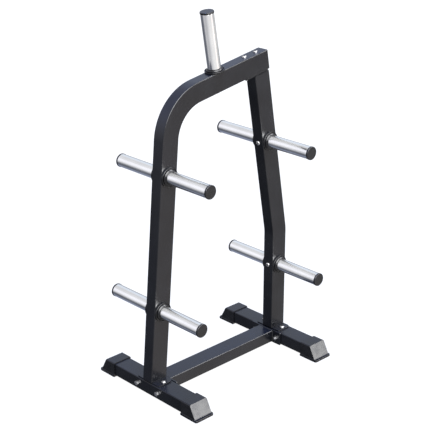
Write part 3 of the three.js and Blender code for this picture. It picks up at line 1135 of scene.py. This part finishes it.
    def build_beam(self) -> None:
        """Beam along X with an end plate welded on each end."""
        rack, tubing = self.rack, self.rack.tubing
        thickness = rack.end_plate_thickness
        length = rack.foot_spacing - tubing.wide - 2 * rack.fits.gap
        beam = self.straight_tube(tubing.narrow, tubing.wide, length - 2 * thickness + self.end_plate_edge)
        end_plate = self.bolted_plate(
            (tubing.narrow + 2 * self.end_plate_margin, self.end_plate_length, thickness),
            tubing.corner,
            self.end_plate_edge,
            [end.of_pair(rack.beam_bolt_spacing) for end in End],
        )
        weld = bead(tubing.narrow - self.weld / 2, tubing.wide, tubing.corner, self.weld)
        welded = []
        for half_turn, place in ((Matrix.Identity(4), -length / 2), (upside_down(), length / 2)):
            outer = shift(z=place) @ half_turn
            welded.append(end_plate.placed(outer))
            welded.append(weld.placed(outer @ shift(z=thickness)))
        end_plate.discard()
        weld.discard()
        beam.join(*welded)
        beam.move(shift(z=rack.foot_middle) @ along_x(1))
        beam.smooth()
        self.keep(beam, "base_beam", Slot.PAINT)

    def build_bolts(self) -> None:
        """Bolts of the beam, with a washer outside each foot and a nut behind each end plate."""
        rack, hardware, gap = self.rack, self.hardware, self.rack.fits.gap
        on_foot = rack.tubing.wide / 2 + gap
        under_head = on_foot + hardware.washer_thickness + gap
        behind_plate = on_foot + rack.end_plate_thickness + gap
        models = {
            "bolt": (hardware.hex_bolt(hardware.past_nut(under_head + behind_plate)), 1, under_head),
            "washer": (hardware.washer(), 1, on_foot),
            "nut": (hardware.hex_nut(), -1, behind_plate),
        }
        for side in Side:
            for end in End:
                middle = self.foot_place(side, rack.foot_middle) @ end.of_pair(rack.beam_bolt_spacing)
                for kind, (model, way, distance) in models.items():
                    place = middle @ along_x(way * side.value) @ shift(z=distance)
                    self.keep_copy(model, place, f"{side.word}_{end.word}_beam_{kind}", Slot.ZINC)
        for model, *_ in models.values():
            model.discard()


@dataclass
class Upright(SubAssembly):
    """What the mast and the post share: a bent tube on a bolted base plate, drilled for its pegs."""

    hardware: Hardware
    weld: float = 0.0015
    plate_edge: float = 0.0006
    base_plate_inset: float = 0.0030
    base_plate_corner: float = 0.012

    def base_plate(self) -> Shape:
        """Base plate on zero, with its two bolt holes.

        Returns:
            The plate.
        """
        rack = self.rack
        width = rack.tubing.wide - 2 * self.base_plate_inset
        return self.bolted_plate(
            (width, rack.base_plate_length, rack.base_plate_thickness),
            self.base_plate_corner,
            self.plate_edge,
            [end.of_pair(rack.base_bolt_spacing) for end in End],
        )

    def peg_bores(self, frames: Sequence[Matrix], inwards: int) -> list[Shape]:
        """Cutters for the pegs and for the bolts that lock them.

        Args:
            frames: Place of each peg.
            inwards: Way along X to the middle of the rack.

        Returns:
            The cutters.
        """
        bores = []
        reach = self.rack.tubing.wide
        for frame in frames:
            bores.append(self.bore(self.rack.fits.peg_hole, frame @ along_y(1)))
            lock = frame @ shift(x=inwards * reach / 2) @ along_x(1)
            bores.append(self.bore(self.rack.fits.bolt_hole, lock, reach / 2))
        return bores

    def stand(self, tube: Shape, node: str, side: Side, word: str) -> None:
        """Finishes an upright: welds it to its base plate and bolts that to the foot.

        Args:
            tube: The upright so far.
            node: Name of its node.
            side: The side of the rack that it stands on.
            word: Word for it within the bolts' names.
        """
        rack, fits = self.rack, self.rack.fits
        x = side.value * rack.foot_spacing / 2
        base_plate = self.base_plate()
        base_plate.move(shift(x=x, z=rack.plate_bottom))
        tube.join(base_plate)
        tube.smooth()
        self.keep(tube, node, Slot.PAINT)
        grip = fits.gap * 2 + rack.base_plate_thickness + rack.tubing.wall
        model = self.hardware.button_bolt(self.hardware.past_nut(grip))
        for end in End:
            place = shift(x=x, z=rack.plate_top + fits.gap) @ end.of_pair(rack.base_bolt_spacing)
            self.keep_copy(model, place, f"{word}_{end.word}_base_bolt", Slot.ZINC)
        model.discard()


@dataclass
class MastAndRail(Upright):
    """The mast that bends over into the sloping rail, in one tube."""

    def build(self) -> None:
        """Builds the tube with its base plate and bolts."""
        rack = self.rack
        tube = self.swept_tube(rack.mast_line)
        tube.pick_all()
        foot = (0, 0, rack.plate_top - self.plate_edge)
        bpy.ops.mesh.bisect(plane_co=foot, plane_no=(0, 0, 1), clear_inner=True)
        bores = self.peg_bores(rack.mast_pegs, 1)
        for place in [*rack.rail_bolt_places.values(), -rack.top_peg_inset]:
            bores.append(self.bore(rack.fits.bolt_hole, rack.rail_frame @ shift(x=place)))
        tube.drill(bores)
        self.stand(tube, "mast_and_rail", Side.LEFT, "mast")


@dataclass
class Post(Upright):
    """The post, square to the rail at its top, with the plate and weld nuts that carry the rail."""

    top_plate_inset: float = 0.0035
    top_plate_corner: float = 0.004

    def build(self) -> None:
        """Builds the tube with its plates, weld nuts and bolts."""
        rack, tubing = self.rack, self.rack.tubing
        tube = self.swept_tube(rack.post_line)
        tube.drill(self.peg_bores(rack.post_pegs, -1))
        weld = bead(tubing.wide, tubing.narrow - 2 * self.weld, tubing.corner, self.weld)
        under_plate = rack.under_rail - rack.top_plate_thickness
        weld.move(rack.rail_frame @ shift(x=-tubing.wide / 2, z=under_plate) @ upside_down())
        tube.join(self.top_plate(), weld)
        self.stand(tube, "right_post", Side.RIGHT, "post")

    def top_plate(self) -> Shape:
        """Plate under the end of the rail, with a weld nut under each of its two holes.

        Returns:
            The plate in its place.
        """
        rack = self.rack
        length = rack.tubing.wide + rack.top_plate_overhang
        width = rack.tubing.narrow - 2 * self.top_plate_inset
        places = rack.rail_bolt_places.values()
        shape = self.bolted_plate(
            (length, width, rack.top_plate_thickness),
            self.top_plate_corner,
            self.plate_edge,
            [shift(x=place + length / 2) for place in places],
        )
        under_plate = rack.under_rail - rack.top_plate_thickness
        shape.move(shift(x=-length / 2, z=under_plate))
        nut = self.hardware.hex_nut()
        nuts = [nut.placed(shift(x=place, z=under_plate - self.hardware.nut_height)) for place in places]
        nut.discard()
        shape.join(*nuts)
        shape.move(rack.rail_frame)
        return shape


@dataclass(frozen=True)
class PegParts:
    """Sizes of the chrome pegs and of their moulded caps and collars."""

    reach: float = 0.240
    top_reach: float = 0.225
    cap_head: float = 0.007
    cap_rim: float = 0.001
    cap_edge: float = 0.0022
    cap_wall: float = 0.002
    cap_depth: float = 0.018
    collar_length: float = 0.012
    collar_sleeve_wall: float = 0.0012
    collar_sleeve_length: float = 0.0140
    collar_hub_wall: float = 0.0056
    collar_flange_width: float = 0.0061
    collar_flange_thickness: float = 0.006
    collar_rim: float = 0.0016
    collar_groove: float = 0.0024
    collar_edge: float = 0.0010
    collar_chamfer: float = 0.0040
    collar_lip: float = 0.0010
    collar_fillet: float = 0.0012
    tube_edge: float = 0.0005
    steps: int = 72


@dataclass
class Pegs(SubAssembly):
    """The chrome pegs through the mast and the post, with their collars, caps and locking bolts."""

    hardware: Hardware
    parts: PegParts = PegParts()

    def build(self) -> None:
        """Builds the models and copies them to every peg."""
        rack, fits, tubing = self.rack, self.rack.fits, self.rack.tubing
        tube_end = self.parts.reach - self.parts.cap_head - fits.gap
        peg = self.chrome_tube(-tube_end, tube_end)
        ring = self.collar()
        cap = self.cap()
        lock_grip = fits.gap + tubing.wide / 2 - fits.peg / 2 + fits.peg_wall
        bolt = self.hardware.button_bolt(self.hardware.past_nut(lock_grip))
        for upright, frames, inwards in (("mast", rack.mast_pegs, 1), ("post", rack.post_pegs, -1)):
            for height, frame in zip(("lower", "upper"), frames):
                node = f"{upright}_{height}_peg"
                self.keep_copy(peg, frame @ along_y(1), node, Slot.CHROME)
                lock = frame @ shift(x=inwards * (tubing.wide / 2 + fits.gap)) @ along_x(inwards)
                self.keep_copy(bolt, lock, f"{node}_bolt", Slot.ZINC)
                for end in End:
                    outwards = frame @ along_y(end.value)
                    on_tube = outwards @ shift(z=tubing.narrow / 2 + fits.gap)
                    self.keep_copy(ring, on_tube, f"{node}_{end.word}_collar", Slot.PLASTIC)
                    at_end = outwards @ shift(z=tube_end + fits.gap)
                    self.keep_copy(cap, at_end, f"{node}_{end.word}_cap", Slot.PLASTIC)
        for model in (peg, ring, cap, bolt):
            model.discard()

    def turned_part(self, profile: Sequence[Corner]) -> Shape:
        """Smooth piece turned about Z in the fine steps of a peg.

        Args:
            profile: Corners of its profile, in order round the material.

        Returns:
            The piece.
        """
        shape = turned(profile, self.parts.steps)
        shape.smooth()
        return shape

    def chrome_tube(self, start: float, end: float) -> Shape:
        """Open chrome tube along Z with its edges broken.

        Args:
            start: Height of its lower end.
            end: Height of its upper end.

        Returns:
            The tube.
        """
        outer = self.rack.fits.peg / 2
        inner = outer - self.rack.fits.peg_wall
        edge = self.parts.tube_edge
        ends = ((inner, start), (outer, start), (outer, end), (inner, end))
        return self.turned_part([Corner(radius, height, edge) for radius, height in ends])

    def collar(self) -> Shape:
        """Moulded collar on zero: a grooved flange, a chamfered hub and a thin sleeve round the peg.

        Returns:
            The collar.
        """
        parts = self.parts
        inner = self.rack.fits.peg_hole
        hub = inner + parts.collar_hub_wall
        flange = hub + parts.collar_flange_width
        rim = flange - parts.collar_rim
        sleeve = inner + parts.collar_sleeve_wall
        thickness, edge = parts.collar_flange_thickness, parts.collar_edge
        return self.turned_part(
            [
                Corner(inner, 0),
                Corner(flange, 0),
                Corner(flange, thickness, edge, Round.PLAIN),
                Corner(rim, thickness, edge / 4, Round.BROKEN),
                Corner(rim, parts.collar_groove),
                Corner(hub, parts.collar_groove, parts.collar_fillet, Round.PLAIN),
                Corner(hub, parts.collar_length - parts.collar_chamfer, parts.collar_lip, Round.PLAIN),
                Corner(hub - parts.collar_chamfer, parts.collar_length, parts.collar_lip / 2, Round.SMALL),
                Corner(sleeve, parts.collar_length),
                Corner(sleeve, parts.collar_sleeve_length, edge / 2, Round.SMALL),
                Corner(inner, parts.collar_sleeve_length),
            ]
        )

    def cap(self) -> Shape:
        """Moulded peg cap: zero is the end of the peg, with the head past it and the open spigot inside.

        Returns:
            The cap.
        """
        parts, fits = self.parts, self.rack.fits
        spigot = fits.peg / 2 - fits.peg_wall - fits.gap
        core = spigot - parts.cap_wall
        head = fits.peg / 2 + parts.cap_rim
        roof = parts.cap_head - parts.cap_wall
        return self.turned_part(
            [
                Corner(0, roof),
                Corner(core, roof),
                Corner(core, -parts.cap_depth),
                Corner(spigot, -parts.cap_depth, parts.cap_rim),
                Corner(spigot, 0),
                Corner(head, 0, parts.tube_edge),
                Corner(head, parts.cap_head, parts.cap_edge, Round.LARGE),
                Corner(0, parts.cap_head),
            ]
        )


@dataclass
class RailFittings(Pegs):
    """What the rail carries: its end cap, the bolts into the post and the top peg with its fixings."""

    end_cap_flange: float = 0.003
    end_cap_edge: float = 0.0012
    end_cap_depth: float = 0.020
    plug: float = 0.012

    def build(self) -> None:
        """Builds the end cap, the rail bolts and the top peg."""
        self.build_end_cap()
        self.build_rail_bolts()
        self.build_top_peg()

    def build_end_cap(self) -> None:
        """Moulded cap in the open end of the rail: a cover with a hollow spigot behind it."""
        tubing, gap = self.rack.tubing, self.rack.fits.gap
        flange = self.end_cap_flange
        cover = plate(tubing.wide, tubing.narrow, flange, tubing.corner)
        rim = flange - NEAR
        cover.round_edges(self.end_cap_edge, Round.PLAIN, lambda first, last: min(first.z, last.z) > rim)
        play = 2 * (tubing.wall + gap)
        length = self.end_cap_depth + flange / 2
        spigot = self.straight_tube(tubing.wide - play, tubing.narrow - play, length)
        spigot.move(shift(z=length / 2 - self.end_cap_depth))
        cover.join(spigot)
        cover.move(self.rack.rail_frame @ shift(x=gap) @ along_x(1))
        cover.smooth()
        self.keep(cover, "rail_end_cap", Slot.PLASTIC)

    def build_rail_bolts(self) -> None:
        """Domed bolts down through the rail into the post."""
        rack, fits = self.rack, self.rack.fits
        grip = 2 * fits.gap + rack.tubing.wide + rack.top_plate_thickness
        model = self.hardware.button_bolt(self.hardware.past_nut(grip))
        for name, place in rack.rail_bolt_places.items():
            at_top = rack.rail_frame @ shift(x=place, z=rack.tubing.wide / 2 + fits.gap)
            self.keep_copy(model, at_top, f"{name}_rail_bolt", Slot.ZINC)
        model.discard()

    def build_top_peg(self) -> None:
        """Peg that stands on the rail, held by a bolt from below."""
        rack, parts, hardware = self.rack, self.parts, self.hardware
        fits, gap = rack.fits, rack.fits.gap
        surface = rack.tubing.wide / 2
        under = surface + gap + hardware.washer_thickness
        middle = rack.rail_frame @ shift(x=-rack.top_peg_inset)

        tube = self.chrome_tube(0, parts.top_reach - parts.cap_head - 2 * gap)
        plug = rod((fits.peg - fits.peg_wall) / 2, 0, self.plug, parts.steps)
        plug.combine(rod(fits.bolt_hole, -OVERRUN, OVERRUN, fits.hole_sides))
        tube.join(plug)
        tube.smooth()
        length = hardware.washer_thickness + 3 * gap + rack.tubing.wide + self.plug + hardware.tail
        for shape, place, word, slot in (
            (tube, shift(z=surface + gap), "", Slot.CHROME),
            (self.collar(), shift(z=surface + gap), "_collar", Slot.PLASTIC),
            (self.cap(), shift(z=surface + parts.top_reach - parts.cap_head), "_cap", Slot.PLASTIC),
            (hardware.washer(), shift(z=-under), "_washer", Slot.ZINC),
            (hardware.hex_bolt(length), shift(z=-under - gap) @ upside_down(), "_bolt", Slot.ZINC),
        ):
            shape.move(middle @ place)
            self.keep(shape, f"top_peg{word}", slot)


class Socket(Enum):
    """Kinds of socket on a node group."""

    VALUE = "NodeSocketFloat"
    COLOR = "NodeSocketColor"
    VECTOR = "NodeSocketVector"


class Blend(Enum):
    """Kinds of Mix node, with the numbers of the first socket that it mixes and of its result."""

    VALUE = ("FLOAT", 2, 0)
    VECTOR = ("VECTOR", 4, 1)
    COLOR = ("RGBA", 6, 2)


@dataclass(frozen=True)
class Pattern:
    """Character of a noise, and the part of its range that an effect uses."""

    detail: float
    roughness: float = 0.5
    distortion: float = 0
    low: float = 0
    high: float = 1


MOTTLE = Pattern(detail=3, roughness=0.55, low=0.3, high=0.7)
SOFT_WAVES = Pattern(detail=2)
SMEARS = Pattern(detail=4, roughness=0.7, distortion=0.6, low=0.55, high=0.75)


class Graph:
    """Nodes of one material, group or world, with short words for adding and joining them."""

    def __init__(self, tree: bpy.types.NodeTree) -> None:
        """Starts on a node tree."""
        self.tree = tree

    @classmethod
    def cleared(cls, owner: bpy.types.Material | bpy.types.World) -> "Graph":
        """Starts on the nodes of a material or a world, with none of its own left.

        Args:
            owner: The material or the world.

        Returns:
            The empty graph.
        """
        owner.use_nodes = True
        owner.node_tree.nodes.clear()
        return cls(owner.node_tree)

    def add(self, kind: str, values: Feeds | None = None, **settings: object) -> bpy.types.Node:
        """Adds a node.

        Args:
            kind: Type of node.
            values: What feeds its input sockets.
            settings: Its other settings.

        Returns:
            The node.
        """
        node = self.tree.nodes.new(kind)
        for setting, value in settings.items():
            setattr(node, setting, value)
        for socket, value in (values or {}).items():
            if isinstance(value, bpy.types.NodeSocket):
                self.tree.links.new(value, node.inputs[socket])
            else:
                node.inputs[socket].default_value = value
        return node

    def noise(self, pattern: Pattern, place: object, scale: object) -> bpy.types.NodeSocket:
        """Adds a noise.

        Args:
            pattern: Its character.
            place: Socket of the coordinates.
            scale: Its scale, as a value or a socket.

        Returns:
            The noise's value.
        """
        values = {
            "Vector": place,
            "Scale": scale,
            "Detail": pattern.detail,
            "Roughness": pattern.roughness,
            "Distortion": pattern.distortion,
        }
        return self.add("ShaderNodeTexNoise", values).outputs[0]

    def mask(self, value: object, low: object, high: object) -> bpy.types.NodeSocket:
        """Adds a soft step from 0 to 1.

        Args:
            value: Socket that is masked.
            low: Where the step starts.
            high: Where the step ends.

        Returns:
            The mask.
        """
        values = {"Value": value, "From Min": low, "From Max": high}
        return self.add("ShaderNodeMapRange", values, interpolation_type="SMOOTHSTEP").outputs["Result"]

    def mix(self, blend: Blend, share: object, first: object, last: object) -> bpy.types.NodeSocket:
        """Adds a mix of two values, vectors or colours.

        Args:
            blend: Kind of mix.
            share: Share of the last one.
            first: What is mixed at a share of 0.
            last: What is mixed at a share of 1.

        Returns:
            The mix.
        """
        kind, start, result = blend.value
        values = {0: share, start: first, start + 1: last}
        return self.add("ShaderNodeMix", values, data_type=kind).outputs[result]


class Effect:
    """Shader node group with named inputs and outputs, built once for all that use it."""

    def __init__(self, name: str, inputs: dict[str, Socket], outputs: dict[str, Socket]) -> None:
        """Makes the empty group.

        Args:
            name: Name of the group.
            inputs: Name and kind of each input.
            outputs: Name and kind of each output.
        """
        self.tree = bpy.data.node_groups.new(name, "ShaderNodeTree")
        for way, sockets in (("INPUT", inputs), ("OUTPUT", outputs)):
            for socket, kind in sockets.items():
                self.tree.interface.new_socket(socket, in_out=way, socket_type=kind.value)
        self.graph = Graph(self.tree)
        self.given = self.graph.add("NodeGroupInput").outputs

    def give(self, results: Feeds) -> None:
        """Feeds the group's outputs."""
        self.graph.add("NodeGroupOutput", results)

    def place(self, graph: Graph, values: Feeds) -> bpy.types.Node:
        """Places the group among other nodes, with what feeds its inputs."""
        return graph.add("ShaderNodeGroup", values, node_tree=self.tree)


def mottle_effect() -> Effect:
    """Slow change between two tones, and between two values of gloss in the same pattern.

    Returns:
        The effect.
    """
    inputs = {
        "Place": Socket.VECTOR,
        "Scale": Socket.VALUE,
        "Dark": Socket.COLOR,
        "Light": Socket.COLOR,
        "Low": Socket.VALUE,
        "High": Socket.VALUE,
    }
    effect = Effect("surface_mottle", inputs, {"Color": Socket.COLOR, "Roughness": Socket.VALUE})
    graph, given = effect.graph, effect.given
    mask = graph.mask(graph.noise(MOTTLE, given["Place"], given["Scale"]), MOTTLE.low, MOTTLE.high)
    tone = graph.mix(Blend.COLOR, mask, given["Dark"], given["Light"])
    gloss = graph.mix(Blend.VALUE, mask, given["Low"], given["High"])
    effect.give({"Color": tone, "Roughness": gloss})
    return effect


def grain_effect() -> Effect:
    """Fine relief: the soft waves of a sprayed or moulded skin with a finer grain on them.

    Returns:
        The effect.
    """
    inputs = {
        "Place": Socket.VECTOR,
        "Wave Scale": Socket.VALUE,
        "Grain Scale": Socket.VALUE,
        "Grain Share": Socket.VALUE,
    }
    effect = Effect("surface_grain", inputs, {"Height": Socket.VALUE})
    graph, given = effect.graph, effect.given
    wave = graph.noise(SOFT_WAVES, given["Place"], given["Wave Scale"])
    values = {"Vector": given["Place"], "Scale": given["Grain Scale"]}
    grain = graph.add("ShaderNodeTexVoronoi", values, feature="SMOOTH_F1")
    effect.give({"Height": graph.mix(Blend.VALUE, given["Grain Share"], wave, grain.outputs["Distance"])})
    return effect


def handling_effect() -> Effect:
    """Faint smears and fine scuffs that change the gloss where the rack is handled.

    Returns:
        The effect.
    """
    inputs = {
        "Place": Socket.VECTOR,
        "Roughness": Socket.VALUE,
        "Smear Scale": Socket.VALUE,
        "Amount": Socket.VALUE,
    }
    effect = Effect("handling_marks", inputs, {"Roughness": Socket.VALUE})
    graph, given = effect.graph, effect.given
    mask = graph.mask(graph.noise(SMEARS, given["Place"], given["Smear Scale"]), SMEARS.low, SMEARS.high)
    values = {0: mask, 1: given["Amount"], 2: given["Roughness"]}
    rise = graph.add("ShaderNodeMath", values, operation="MULTIPLY_ADD")
    effect.give({"Roughness": rise.outputs[0]})
    return effect


@dataclass(frozen=True)
class Finish:
    """How one kind of surface looks."""

    slot: Slot
    dark: Color
    light: Color
    tone_scale: float
    gloss: tuple[float, float]
    wave_scale: float
    grain_scale: float
    grain_share: float
    relief: float
    relief_depth: float
    smear_scale: float
    smear: float
    metallic: float = 0
    specular: float = 0.5

    def material(self, mottle: Effect, grain: Effect, handling: Effect) -> bpy.types.Material:
        """Builds the material.

        Args:
            mottle: Slow change of tone and gloss.
            grain: Fine relief.
            handling: Smears and scuffs.

        Returns:
            The material.
        """
        material = bpy.data.materials.new(self.slot.value)
        graph = Graph.cleared(material)
        place = graph.add("ShaderNodeTexCoord").outputs["Object"]
        tone_values = {
            "Place": place,
            "Scale": self.tone_scale,
            "Dark": (*self.dark, 1),
            "Light": (*self.light, 1),
            "Low": self.gloss[0],
            "High": self.gloss[1],
        }
        tone = mottle.place(graph, tone_values).outputs
        mark_values = {
            "Place": place,
            "Roughness": tone["Roughness"],
            "Smear Scale": self.smear_scale,
            "Amount": self.smear,
        }
        marks = handling.place(graph, mark_values).outputs
        relief_values = {
            "Place": place,
            "Wave Scale": self.wave_scale,
            "Grain Scale": self.grain_scale,
            "Grain Share": self.grain_share,
        }
        height = grain.place(graph, relief_values).outputs["Height"]
        bump_values = {"Height": height, "Strength": self.relief, "Distance": self.relief_depth}
        shader_values = {
            "Base Color": tone["Color"],
            "Roughness": marks["Roughness"],
            "Metallic": self.metallic,
            "Specular IOR Level": self.specular,
            "Normal": graph.add("ShaderNodeBump", bump_values).outputs[0],
        }
        shader = graph.add("ShaderNodeBsdfPrincipled", shader_values)
        graph.add("ShaderNodeOutputMaterial", {"Surface": shader.outputs[0]})
        return material


FINISHES = (
    Finish(
        slot=Slot.PAINT,
        dark=(0.0015, 0.0017, 0.0026),
        light=(0.0025, 0.0028, 0.0040),
        tone_scale=9,
        gloss=(0.21, 0.27),
        wave_scale=420,
        grain_scale=1500,
        grain_share=0.3,
        relief=0.10,
        relief_depth=0.0002,
        smear_scale=7,
        smear=0.04,
        specular=0.41,
    ),
    Finish(
        slot=Slot.PLASTIC,
        dark=(0.0012, 0.0013, 0.0018),
        light=(0.0024, 0.0025, 0.0034),
        tone_scale=40,
        gloss=(0.24, 0.31),
        wave_scale=500,
        grain_scale=900,
        grain_share=0.75,
        relief=0.22,
        relief_depth=0.00025,
        smear_scale=18,
        smear=0.05,
        specular=0.42,
    ),
    Finish(
        slot=Slot.CHROME,
        dark=(0.86, 0.865, 0.88),
        light=(0.93, 0.935, 0.945),
        tone_scale=12,
        gloss=(0.14, 0.20),
        wave_scale=60,
        grain_scale=1400,
        grain_share=0.25,
        relief=0.02,
        relief_depth=0.0002,
        smear_scale=22,
        smear=0.10,
        metallic=1,
    ),
    Finish(
        slot=Slot.ZINC,
        dark=(0.40, 0.405, 0.42),
        light=(0.50, 0.50, 0.51),
        tone_scale=300,
        gloss=(0.28, 0.38),
        wave_scale=500,
        grain_scale=1800,
        grain_share=0.4,
        relief=0.08,
        relief_depth=0.0001,
        smear_scale=150,
        smear=0.08,
        metallic=1,
    ),
)


def build_finishes() -> dict[Slot, bpy.types.Material]:
    """Builds the shared effects once and every finish with them."""
    effects = (mottle_effect(), grain_effect(), handling_effect())
    return {finish.slot: finish.material(*effects) for finish in FINISHES}


def direction(azimuth: float, elevation: float) -> Vector:
    """Unit vector at two angles in degrees: azimuth 0 is along X, and 90 along Y."""
    turn, rise = math.radians(azimuth), math.radians(elevation)
    return Vector((math.cos(rise) * math.cos(turn), math.cos(rise) * math.sin(turn), math.sin(rise)))


@dataclass(frozen=True)
class Card:
    """One patch of the studio round the rack: a softbox, a white card or a black flag."""

    azimuth: float
    elevation: float
    core: float
    edge: float
    light: Color

    def values(self) -> Feeds:
        """What the card feeds to the node group that lays it over the room.

        Returns:
            The values by input.
        """
        return {
            "Axis": direction(self.azimuth, self.elevation),
            "Edge": math.cos(math.radians(self.edge)),
            "Core": math.cos(math.radians(self.core)),
            "Light": self.light,
        }


@dataclass(frozen=True)
class Studio:
    """Pale floor, soft light all round and the camera."""

    room: Color = (0.80, 0.80, 0.82)
    backdrop: Color = (1.0, 1.0, 1.0)
    cards: tuple[Card, ...] = (
        Card(-90, -60, 60, 100, (0.75, 0.75, 0.76)),
        Card(112, -42, 22, 48, (0.122, 0.132, 0.160)),
        Card(85, -60, 16, 34, (0.24, 0.27, 0.36)),
        Card(-172, -10, 14, 38, (0.50, 0.50, 0.52)),
        Card(18, -18, 16, 34, (0.28, 0.28, 0.30)),
        Card(47, 12, 10, 20, (0.40, 0.42, 0.46)),
        Card(47, 35, 12, 24, (0.79, 0.86, 0.96)),
        Card(92, 50, 4, 14, (0.72, 0.73, 0.76)),
        Card(136, 22, 6, 22, (1.04, 1.04, 1.10)),
        Card(-80, -20, 30, 50, (0.88, 0.87, 0.86)),
        Card(-53, -25, 8, 24, (1.34, 1.22, 1.17)),
        Card(-8, -22, 22, 46, (0.58, 0.58, 0.58)),
        Card(-104, 40, 18, 40, (14.0, 14.0, 14.0)),
        Card(-53, 11, 7, 13, (14.0, 14.0, 14.0)),
        Card(-30, 42, 8, 14, (15.0, 15.0, 15.0)),
    )
    floor_size: float = 16.0
    floor_tones: tuple[Color, Color] = ((0.010, 0.010, 0.010), (0.014, 0.014, 0.014))
    floor_scale: float = 1.5
    floor_glow: float = 0.98
    floor_roughness: float = 0.9
    lamp_azimuth: float = 72.0
    lamp_elevation: float = 86.0
    lamp_distance: float = 9.0
    lamp_size: float = 4.0
    lamp_power: float = 8500.0
    lamp_color: Color = (0.10, 0.32, 1.0)
    camera_azimuth: float = -133.9
    camera_elevation: float = 21.5
    camera_distance: float = 4.284
    camera_target: Point = (-0.0091, 0.0, 0.6331)
    camera_lens: float = 95.1
    sensor: float = 36.0

    def build(self) -> None:
        """Builds the room, the floor, the lamp and the camera."""
        self.build_room()
        self.build_floor()
        self.build_lamp()
        self.build_camera()
        bpy.context.scene.view_settings.view_transform = "Standard"

    def card_effect(self) -> Effect:
        """Lays one card over the room so far, with soft edges.

        Returns:
            The effect.
        """
        inputs = {
            "Room": Socket.VECTOR,
            "Direction": Socket.VECTOR,
            "Axis": Socket.VECTOR,
            "Edge": Socket.VALUE,
            "Core": Socket.VALUE,
            "Light": Socket.VECTOR,
        }
        effect = Effect("studio_card", inputs, {"Room": Socket.VECTOR})
        graph, given = effect.graph, effect.given
        values = {0: given["Direction"], 1: given["Axis"]}
        nearness = graph.add("ShaderNodeVectorMath", values, operation="DOT_PRODUCT").outputs["Value"]
        cover = graph.mask(nearness, given["Edge"], given["Core"])
        effect.give({"Room": graph.mix(Blend.VECTOR, cover, given["Room"], given["Light"])})
        return effect

    def build_room(self) -> None:
        """Soft light from every side, with the cards laid over it one after another."""
        world = bpy.data.worlds.new("studio")
        bpy.context.scene.world = world
        graph = Graph.cleared(world)
        sight = graph.add("ShaderNodeTexCoord").outputs["Generated"]
        effect = self.card_effect()
        room = self.room
        for card in self.cards:
            room = effect.place(graph, {"Room": room, "Direction": sight, **card.values()}).outputs["Room"]
        light = graph.add("ShaderNodeBackground", {"Color": room})
        backdrop = graph.add("ShaderNodeBackground", {"Color": (*self.backdrop, 1)})
        by_camera = graph.add("ShaderNodeLightPath").outputs["Is Camera Ray"]
        seen = graph.add("ShaderNodeMixShader", {0: by_camera, 1: light.outputs[0], 2: backdrop.outputs[0]})
        graph.add("ShaderNodeOutputWorld", {"Surface": seen.outputs[0]})

    def build_floor(self) -> None:
        """Plain pale floor that the gloss doesn't mirror, because the cards stand for it there."""
        floor = Shape.started(bpy.ops.mesh.primitive_plane_add, size=self.floor_size).body
        floor.name = "floor"
        material = bpy.data.materials.new("pale_floor")
        graph = Graph.cleared(material)
        place = graph.add("ShaderNodeTexCoord").outputs["Object"]
        noise = graph.noise(SOFT_WAVES, place, self.floor_scale)
        values = {
            "Base Color": graph.mix(Blend.COLOR, noise, *((*tone, 1) for tone in self.floor_tones)),
            "Roughness": self.floor_roughness,
            "Emission Color": (*self.backdrop, 1),
            "Emission Strength": self.floor_glow,
        }
        shader = graph.add("ShaderNodeBsdfPrincipled", values)
        graph.add("ShaderNodeOutputMaterial", {"Surface": shader.outputs[0]})
        floor.data.materials.append(material)
        floor.visible_glossy = False

    def build_lamp(self) -> None:
        """Large lamp above the rack that tints the tops and isn't mirrored in the gloss."""
        towards = direction(self.lamp_azimuth, self.lamp_elevation)
        turn = towards.to_track_quat("Z", "Y").to_euler()
        bpy.ops.object.light_add(type="AREA", location=towards * self.lamp_distance, rotation=turn)
        lamp = bpy.context.object
        lamp.name = "high_lamp"
        lamp.data.shape = "SQUARE"
        lamp.data.size = self.lamp_size
        lamp.data.energy = self.lamp_power
        lamp.data.color = self.lamp_color
        lamp.visible_glossy = False
        lamp.visible_camera = False

    def build_camera(self) -> None:
        """Camera at the photograph's angle."""
        away = direction(self.camera_azimuth, self.camera_elevation)
        place = Vector(self.camera_target) + away * self.camera_distance
        bpy.ops.object.camera_add(location=place, rotation=away.to_track_quat("Z", "Y").to_euler())
        camera = bpy.context.object
        camera.data.sensor_width = self.sensor
        camera.data.lens = self.camera_lens
        bpy.context.scene.camera = camera


def main() -> None:
    """Builds and dresses every part of the rack in order, then the studio."""
    logging.basicConfig(level=logging.INFO, format="%(name)s: %(message)s")
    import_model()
    rack = Rack()
    hardware = Hardware(rack.fits)
    finishes = build_finishes()
    for assembly in (
        Base(rack, hardware),
        MastAndRail(rack, hardware),
        Post(rack, hardware),
        Pegs(rack, hardware),
        RailFittings(rack, hardware),
    ):
        assembly.build()
        assembly.dress(finishes)
    Studio().build()


if __name__ == "__main__":
    main()
